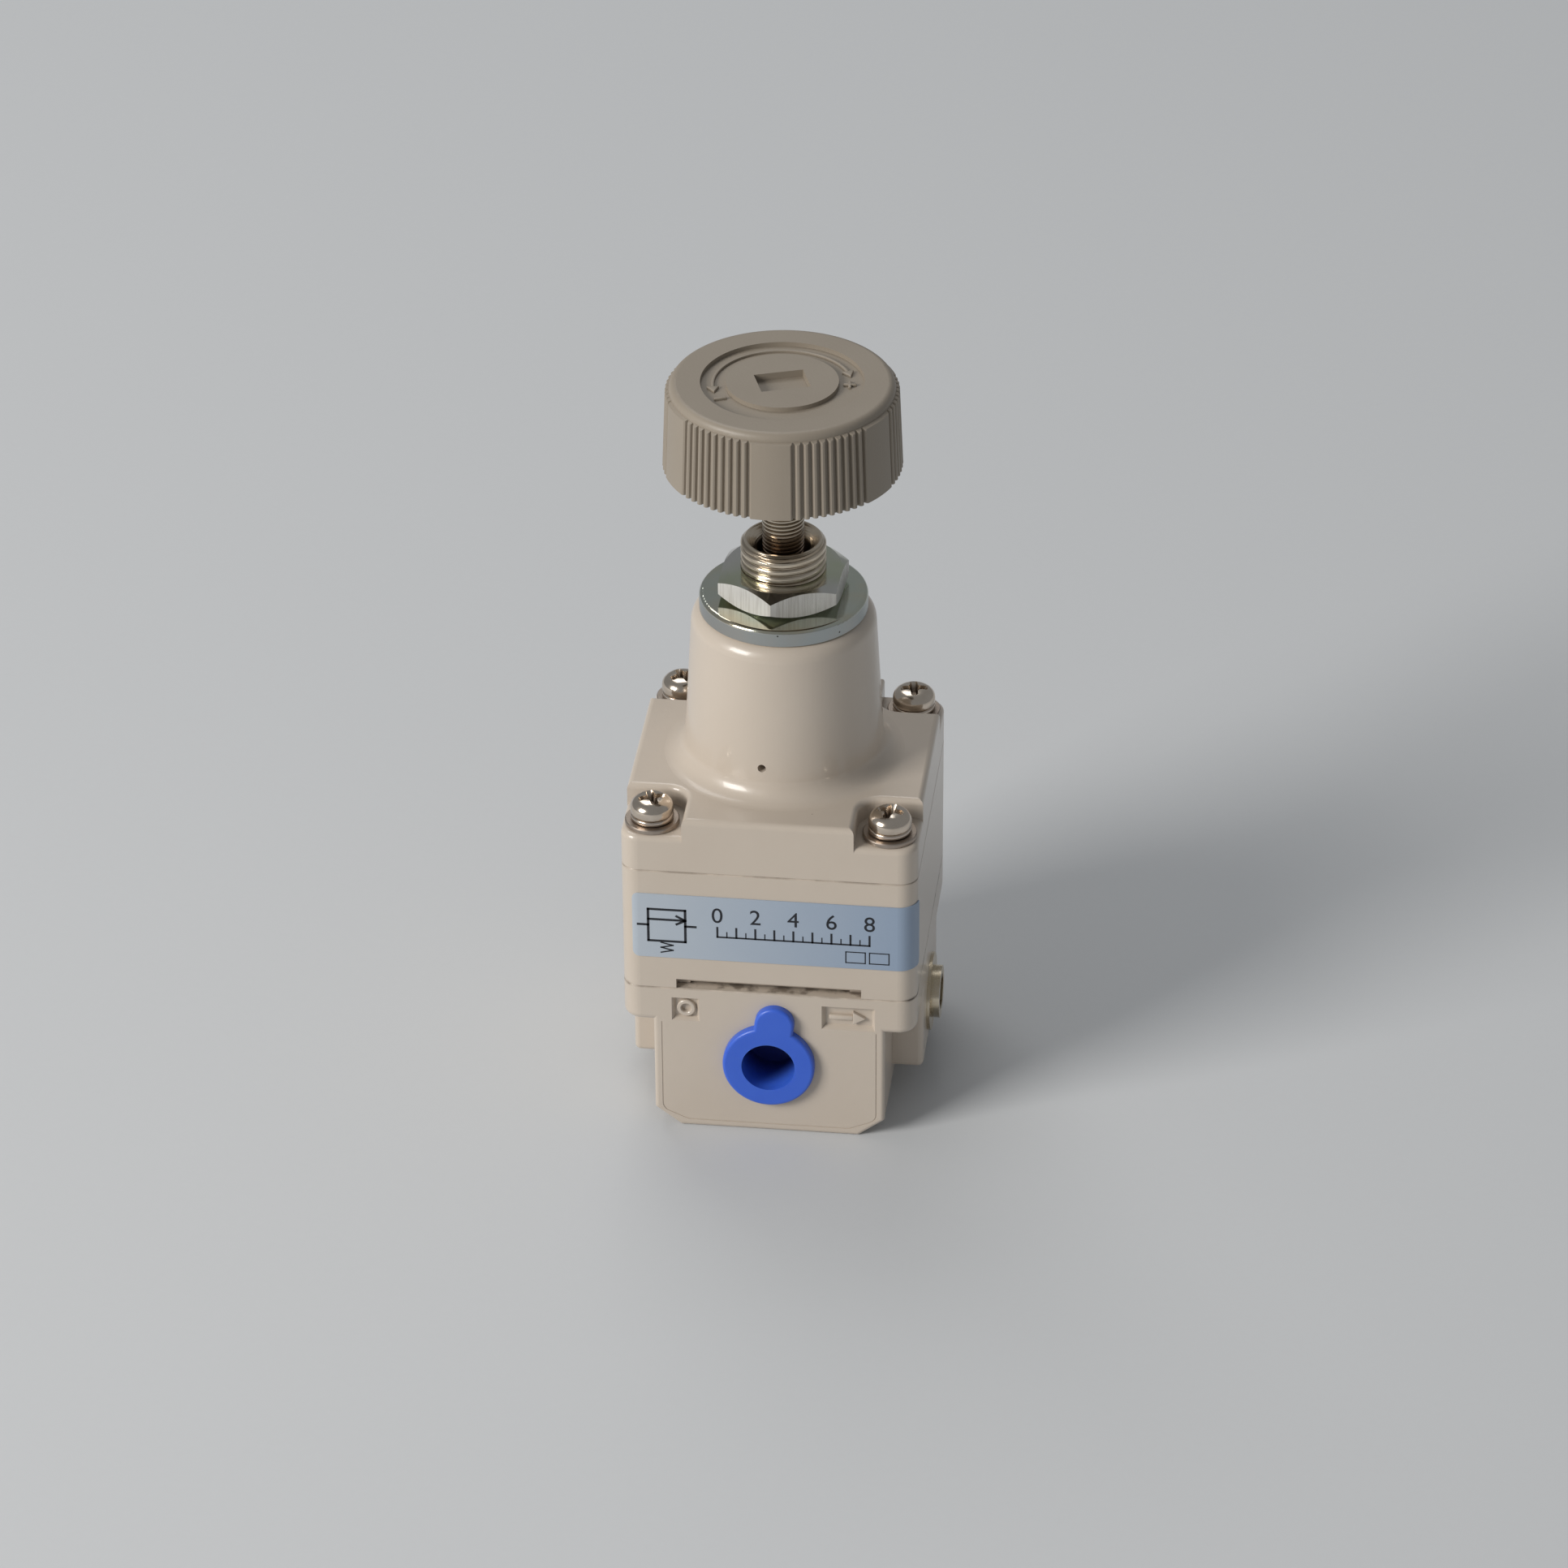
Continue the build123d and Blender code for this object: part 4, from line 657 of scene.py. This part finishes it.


# Adjusting screw. Nickel-plated steel with a fine thread over its whole working length, and a knurled end
# that is pressed in the knob's hub. Brown shade is painted in its thread roots and towards the bushing.
screw_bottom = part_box("adjusting_screw")[0].z / MM
screw_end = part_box("adjusting_screw")[1].z / MM
adjuster_crest = 2.45
adjuster_depth = 0.24
adjuster_pitch = 0.5
adjuster_root = adjuster_crest - adjuster_depth
adjuster_foot = screw_bottom + 0.5
point_radius = 1.6
knurl_length = 6.0
knurl_start = screw_end - knurl_length
knurl_foot = 2.7
knurl_radius = 2.9
knurl_tip = 2.6
knurl_sides = 72
groove_gap = 0.03
groove_depth = 0.12
adjuster_head = knurl_start - 0.3
bushing_shade_start = bushing_top + 2.7
bushing_shade_full = bushing_top - 1.3
adjuster = thread("threaded_adjuster", adjuster_crest, adjuster_depth, adjuster_pitch, adjuster_foot,
                  adjuster_head)
trim(adjuster, adjuster_foot, adjuster_head)
point_end = turned("adjuster_point", [
    (point_radius, screw_bottom), (adjuster_root, adjuster_foot)], sides=72)
knurled_end = turned("adjuster_knurl", [
    (adjuster_root, adjuster_head), (adjuster_root, knurl_start), (knurl_foot, knurl_start),
    (knurl_radius, knurl_start + 0.2), (knurl_radius, screw_end - 0.3), (knurl_tip, screw_end)],
    sides=knurl_sides)


def every_other_side(face):
    """True for every other upright face round the knurled length."""
    on_knurl = hypot(face.center.x, face.center.y) > (knurl_radius - 0.1) * MM
    side = int((atan2(face.center.y, face.center.x) / (2 * pi) + 1) * knurl_sides)
    return on_knurl and side % 2 == 0 and abs(face.normal.z) < 0.1


choose(knurled_end, "FACE", every_other_side)
bpy.ops.mesh.inset(thickness=groove_gap * MM, depth=-groove_depth * MM, use_individual=True)
bpy.ops.object.mode_set(mode="OBJECT")
adjuster = join_thread([adjuster, point_end, knurled_end], adjuster_foot, adjuster_head)

adjuster_paint = Paint("adjuster_thread", Metallic=1.0)
# Painted shade: the thread roots darken along the whole length, and the screw turns brown towards the
# bushing.
in_root = distance(adjuster_paint.along("X"), adjuster_paint.along("Y")).between(2.38 * MM, 2.24 * MM)
near_bushing = adjuster_paint.along("Z").between(bushing_shade_start * MM, bushing_shade_full * MM)
adjuster_film = adjuster_paint.noise(380, 3)
adjuster_tone_and_shade = adjuster_paint.blend(adjuster_film, colour(204, 194, 178), colour(172, 158, 138))
adjuster_tone_and_shade = adjuster_paint.blend(in_root * 0.75, adjuster_tone_and_shade, colour(70, 54, 40))
adjuster_tone_and_shade = adjuster_paint.blend(near_bushing * 0.6, adjuster_tone_and_shade, colour(104, 66, 40))
adjuster_paint.feed("Base Color", adjuster_tone_and_shade)
adjuster_paint.feed("Roughness", adjuster_film * 0.12 + 0.17)
adjuster_paint.bump(adjuster_paint.noise(2200, 2), 0.003 * MM)
settle(adjuster, adjuster_paint.material, "knob", "screw_steel", "adjusting_screw")


# Knob. Moulded in warm grey plastic with a fine spark-eroded grain, and pressed on the adjusting screw. Its
# ribs, webs and sunk ring come from the mould.
plastic = Paint("knob_plastic", IOR=1.48)
plastic_cloud = plastic.noise(120, 3)
plastic_tone = plastic.blend(plastic_cloud, colour(143, 132, 118), colour(151, 141, 127))
plastic_tone = plastic.blend(plastic.specks(150, 0.014), plastic_tone, colour(104, 94, 84))
plastic.feed("Base Color", plastic_tone)
plastic.feed("Roughness", plastic_cloud * 0.08 + 0.4)
plastic.bump(plastic.noise(3600, 2), 0.012 * MM)
dress(plastic.material, "knob")


# Marks on the knob. A curved arrow with two heads, a plus and a minus, moulded with the knob. They stand up
# from the floor of its sunk ring.
ring_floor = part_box("knob")[1].z / MM - 0.55
mark_rise = 0.3
mark_line = 0.34
mark_edge = 0.08
arrow_radius = 8.0
arrow_start = 27.0
arrow_end = 192.0
arrow_head = 0.85
head_gap = 3
sign_length = 1.5
plus_spot, plus_turn = (7.75, 4.0), 5
minus_spot, minus_turn = (7.9, 213.0), 20
sink = 0.05


def soften(piece, width):
    """Rounds the edges of a small raised mark."""
    rounding = piece.modifiers.new("rounding", "BEVEL")
    rounding.width = width * MM
    rounding.segments = 3
    bpy.context.view_layer.objects.active = piece
    bpy.ops.object.modifier_apply(modifier="rounding")


def raised_bar(length, width, rise):
    """A raised bar along X at the origin, with rounded edges. It goes a little into what carries it."""
    bpy.ops.mesh.primitive_cube_add(size=1, location=(0, 0, (rise - sink) / 2 * MM))
    bar = bpy.context.object
    bar.scale = (length * MM, width * MM, (rise + sink) * MM)
    bpy.ops.object.transform_apply()
    soften(bar, min(width, rise) * 0.3)
    return bar


def raised_head(radius, rise):
    """A raised triangle at the origin that points along Y, with rounded edges."""
    bpy.ops.mesh.primitive_cylinder_add(vertices=3, radius=radius * MM, depth=(rise + sink) * MM,
                                        location=(0, 0, (rise - sink) / 2 * MM))
    head = bpy.context.object
    bpy.ops.object.transform_apply()
    soften(head, mark_edge)
    return head


def place(piece, spot, turn=0.0, lean=0.0):
    """Turns a piece about Z, leans it about X and moves it to a spot in millimetres."""
    alone(piece)
    piece.rotation_euler.z = radians(turn)
    bpy.ops.object.transform_apply()
    piece.rotation_euler.x = radians(lean)
    piece.location = Vector(spot) * MM
    bpy.ops.object.transform_apply()
    return piece


def on_ring(radius, angle):
    """A spot on the ring's floor, from its radius and its angle in degrees."""
    return radius * cos(radians(angle)), radius * sin(radians(angle)), ring_floor


curved_line = ring_section(arrow_radius, ring_floor + (mark_rise - sink) / 2, mark_line, mark_rise + sink,
                           mark_edge, 2)
curved_line.name = "knob_marks"
sweep(curved_line, arrow_end - arrow_start, 60)
close_up(coarse_merge)
start_head = on_ring(arrow_radius, arrow_start - head_gap)
end_head = on_ring(arrow_radius, arrow_end + head_gap)
knob_marks = join([
    place(curved_line, (0, 0, 0), arrow_start),
    place(raised_head(arrow_head, mark_rise), start_head, arrow_start - head_gap + 180),
    place(raised_head(arrow_head, mark_rise), end_head, arrow_end + head_gap),
    place(raised_bar(sign_length, mark_line, mark_rise), on_ring(*plus_spot), plus_turn),
    place(raised_bar(sign_length, mark_line, mark_rise - 0.01), on_ring(*plus_spot), plus_turn + 90),
    place(raised_bar(sign_length, mark_line, mark_rise), on_ring(*minus_spot), minus_turn)])
smooth(knob_marks)
settle(knob_marks, plastic.material, "knob", "knob_plastic")


# Marks by the outlet port. A ring and an outward arrow, cast with the lower body and painted with it. They
# stand up from two sunk fields, one each side of the port.
field_floor = -block_face / MM + 0.7
field_rise = 0.55
ring_inside = 0.6
ring_outside = 1.1
ring_edge = 0.1
ring_spot = (-9.9, field_floor, 16.75)
shaft_length = 2.9
shaft_width = 0.6
shaft_spot = (8.6, field_floor, 16.7)
tip_radius = 1.0
tip_spot = (10.5, field_floor, 16.7)
ring_mark = turned("port_marks", [
    (ring_inside, -sink), (ring_outside, -sink), (ring_outside, field_rise - ring_edge),
    (ring_outside - ring_edge, field_rise), (ring_inside + ring_edge, field_rise),
    (ring_inside, field_rise - ring_edge), (ring_inside, -sink)], sides=40)
port_marks = join([
    place(ring_mark, ring_spot, 0, 90),
    place(raised_bar(shaft_length, shaft_width, field_rise), shaft_spot, 0, 90),
    place(raised_head(tip_radius, field_rise), tip_spot, -90, 90)])
smooth(port_marks)
settle(port_marks, enamel.material, "housing", "body_paint")


# Inlet thread. Tapped in the bare aluminium of the open port at the back, after painting, with a trace of
# cutting oil left on it.
port_middle = 9.8
port_wall = 4.29
port_thread_depth = 0.4
port_thread_pitch = 0.907
port_thread_mouth = -0.45
port_thread_end = -8.6
sleeve_radius = port_wall + 0.2
inlet_thread = thread("inlet_thread", port_wall, port_thread_depth, port_thread_pitch, port_thread_end,
                      port_thread_mouth)
trim(inlet_thread, port_thread_end, port_thread_mouth)
sleeve = turned("inlet_sleeve", [
    (sleeve_radius, port_thread_end), (sleeve_radius, port_thread_mouth)], sides=72)
open_ends(sleeve)
inlet_thread = join_thread([inlet_thread, sleeve], port_thread_end, port_thread_mouth)
place(inlet_thread, (0, block_face / MM, port_middle), 0, -90)
tapped = Paint("tapped_aluminium", Metallic=1.0)
tapped.coat(tapped.noise(400, 3), colour(196, 196, 198), colour(150, 146, 140), 0.24, 0.2)
tapped.bump(tapped.noise(3000, 2), 0.005 * MM)
settle(inlet_thread, tapped.material, "housing", "inner_aluminium")


# Outlet cap. Soft blue polyethylene, moulded, and pushed in the port to keep dirt out. Light passes a little
# way into it, and shade is painted in the cup behind the flange, deep navy and darker towards its end.
cup_mouth = -17.4 * MM
cup_end = -13.2 * MM
cap_plastic = Paint("blue_polyethylene", IOR=1.51, Subsurface_Weight=0.3, Subsurface_Scale=0.6 * MM,
                    Subsurface_Radius=(0.4, 0.7, 1.6))
cap_cloud = cap_plastic.noise(220, 3)
# Painted shade: the cup darkens to deep navy from its mouth to its end.
painted_cup_shade = cap_plastic.along("Y").between(cup_mouth, cup_end)
cap_tone = cap_plastic.blend(cap_cloud, colour(54, 97, 204), colour(62, 105, 212))
cap_plastic.feed("Base Color", cap_plastic.blend(painted_cup_shade * 0.9, cap_tone, colour(18, 22, 86)))
cap_plastic.feed("Roughness", cap_cloud * 0.12 + 0.3)
cap_plastic.bump(cap_plastic.noise(900, 2), 0.01 * MM)
dress(cap_plastic.material, "out_port_cap")


# Gauge plugs. Nickel-plated brass with a hexagon socket, turned from bar. Each is screwed down on a black
# seal in its side port.
plug = Paint("plug_nickel", Metallic=1.0)
plug_film = plug.noise(500, 3)
plug_tone = plug.blend(plug_film.between(0.35, 0.7), colour(212, 202, 184), colour(196, 180, 150))
plug.feed("Base Color", plug_tone)
plug.feed("Roughness", plug_film * 0.2 + 0.16)
plug.bump(plug.noise(2400, 2), 0.005 * MM)
dress(plug.material, "gauge_plug_left", "gauge_plug_right")


# Label. Foil with a satin film over it, stuck on the middle casting and wrapped round its front corners. Its
# pale blue is a painted reflection, and painted shade makes it darker and bluer towards the right.
label_low, label_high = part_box("label")
foil = Paint("label_foil", IOR=1.45, Coat_Weight=0.3, Coat_Roughness=0.2)
# Painted shade: the foil goes darker and bluer from left to right, over a pale blue painted reflection.
painted_shade_rightward = foil.along("X").between(label_low.x, label_high.x)
foil_tone = foil.blend(painted_shade_rightward, colour(181, 189, 197), colour(140, 157, 179))
foil_tone = foil.blend(foil.noise(240, 3) * 0.12, foil_tone, colour(128, 146, 170))
foil.feed("Base Color", foil_tone)
foil.feed("Roughness", foil.noise(900, 2) * 0.1 + 0.36)
foil.bump(foil.noise(2600, 2), 0.004 * MM)
dress(foil.material, "label")


# Print on the label. Black ink, silk-screened: a graduated line with plain numbers, the graphic symbol of a
# regulator (a valve square with its two ports, arrow and spring) and two empty boxes.
ink_face = label_low.y / MM
ink_sink = 0.005
ink_rise = 0.015
pen = 0.3
line_pen = 0.22
long_pen = 0.24
spring_pen = 0.18
fine_pen = 0.14
ink_strokes = []


def stroke(start, end, width):
    """A straight stroke of ink on the front of the label, from one spot to another, as (x, z) in mm."""
    run, rise = end[0] - start[0], end[1] - start[1]
    middle = ((start[0] + end[0]) / 2 * MM, (ink_face + (ink_sink - ink_rise) / 2) * MM,
              (start[1] + end[1]) / 2 * MM)
    bpy.ops.mesh.primitive_cube_add(size=1, location=middle, rotation=(0, -atan2(rise, run), 0))
    ink = bpy.context.object
    ink.scale = ((hypot(run, rise) + width) * MM, (ink_sink + ink_rise) * MM, width * MM)
    bpy.ops.object.transform_apply()
    ink_strokes.append(ink)


def outline(left, low, width, height, pen_width):
    """A box drawn with four strokes."""
    corners = [(left, low), (left + width, low), (left + width, low + height), (left, low + height)]
    for start, end in zip(corners, corners[1:] + corners[:1]):
        stroke(start, end, pen_width)


scale_left, scale_level, scale_step = -6.0, 27.3, 2.25
divisions = 8
long_tick, short_tick = 1.3, 0.7
figure_size = 2.9
figure_lift = 2.0
stroke((scale_left, scale_level), (scale_left + divisions * scale_step, scale_level), line_pen)
for tick in range(2 * divisions + 1):
    tick_x = scale_left + tick * scale_step / 2
    tick_rise, tick_pen = (long_tick, long_pen) if tick % 2 == 0 else (short_tick, fine_pen)
    stroke((tick_x, scale_level), (tick_x, scale_level + tick_rise), tick_pen)
for number in range(0, divisions + 1, 2):
    figure_place = ((scale_left + number * scale_step) * MM, (ink_face - ink_rise / 2) * MM,
                    (scale_level + figure_lift) * MM)
    bpy.ops.object.text_add(location=figure_place, rotation=(pi / 2, 0, 0))
    figure = bpy.context.object
    figure.data.body = str(number)
    figure.data.align_x = "CENTER"
    figure.data.size = figure_size * MM
    figure.data.extrude = (ink_rise + ink_sink) / 2 * MM
    bpy.ops.object.convert(target="MESH")
    bpy.ops.object.transform_apply()
    ink_strokes.append(figure)

symbol_left, symbol_low, symbol_size = -14.2, 26.3, 4.4
symbol_right = symbol_left + symbol_size
symbol_middle = symbol_low + symbol_size / 2
port_line = 1.2
flow_level = symbol_middle + 0.8
barb_length, barb_rise = 1.0, 0.55
spring_half, spring_pitch = 0.7, 0.35
outline(symbol_left, symbol_low, symbol_size, symbol_size, pen)
stroke((symbol_left - port_line, symbol_middle), (symbol_left, symbol_middle), pen)
stroke((symbol_right, symbol_middle), (symbol_right + port_line, symbol_middle), pen)
stroke((symbol_left, flow_level), (symbol_right, flow_level), pen)
for side in (-1, 1):
    stroke((symbol_right, flow_level), (symbol_right - barb_length, flow_level + side * barb_rise), pen)
for zig in range(4):
    zig_side = spring_half if zig % 2 else -spring_half
    zig_x = symbol_left + symbol_size / 2
    zig_top = symbol_low - zig * spring_pitch - 0.2
    stroke((zig_x + zig_side, zig_top), (zig_x - zig_side, zig_top - spring_pitch), spring_pen)
box_low, box_width, box_height = 24.8, 2.3, 1.5
for box_left in (9.2, 12.0):
    outline(box_left, box_low, box_width, box_height, fine_pen)
label_print = join(ink_strokes)
label_print.name = "label_print"
ink_finish = Paint("label_ink", IOR=1.45)
ink_finish.coat(ink_finish.noise(700, 2), colour(22, 24, 30), colour(38, 40, 46), 0.35, 0.15)
settle(label_print, ink_finish.material, "housing", "label_foil")


# Stage. A pale floor that the regulator stands on, with soft light from the front left and from above, and
# the camera a little to the right of the front, looking down.
view_azimuth = radians(6.92)
view_elevation = radians(31.79)
view_roll = radians(0.388)
view_distance = 0.7702
view_target = Vector((-0.00012, 0, 0.03802))
view_lens = 148.6
away = Vector((sin(view_azimuth) * cos(view_elevation), -cos(view_azimuth) * cos(view_elevation),
               sin(view_elevation)))
roll = Matrix.Rotation(-view_roll, 3, "Z").to_quaternion()
bpy.ops.object.camera_add(location=view_target + away * view_distance)
camera = bpy.context.object
camera.rotation_mode = "QUATERNION"
camera.rotation_quaternion = (-away).to_track_quat("-Z", "Y") @ roll
camera.data.lens = view_lens
camera.data.sensor_width = 36.0
camera.data.clip_start = 0.01
camera.data.clip_end = 20.0
bpy.context.scene.camera = camera

bpy.ops.mesh.primitive_plane_add(size=6.0, location=(0, 0, 0))
floor = bpy.context.object
floor.name = "floor"
paper = Paint("floor_paper", Roughness=0.95)
paper_tone = paper.blend(paper.noise(900, 2) * 0.25, (0.63, 0.64, 0.65, 1), (0.59, 0.60, 0.61, 1))
paper.feed("Base Color", paper_tone)
floor.data.materials.append(paper.material)

world = bpy.context.scene.world or bpy.data.worlds.new("studio")
bpy.context.scene.world = world
world.use_nodes = True
backdrop = world.node_tree.nodes["Background"]
backdrop.inputs["Color"].default_value = (0.92, 0.96, 1.0, 1)
backdrop.inputs["Strength"].default_value = 0.26


lit_spot = Vector((0, 0, 0.045))


def soft_box(name, position, size, power, tint):
    """An area light that faces the middle of the regulator."""
    bpy.ops.object.light_add(type="AREA", location=position)
    lamp = bpy.context.object
    lamp.name = name
    lamp.data.size = size
    lamp.data.energy = power
    lamp.data.color = tint
    lamp.rotation_euler = (Vector(position) - lit_spot).to_track_quat("Z", "Y").to_euler()


soft_box("key", (-0.85, -0.7, 0.6), 0.5, 12.6, (1.0, 0.98, 0.95))
soft_box("top", (-0.25, 0.6, 1.05), 0.6, 3.2, (1.0, 1.0, 1.0))

bpy.context.scene.view_settings.view_transform = "Standard"
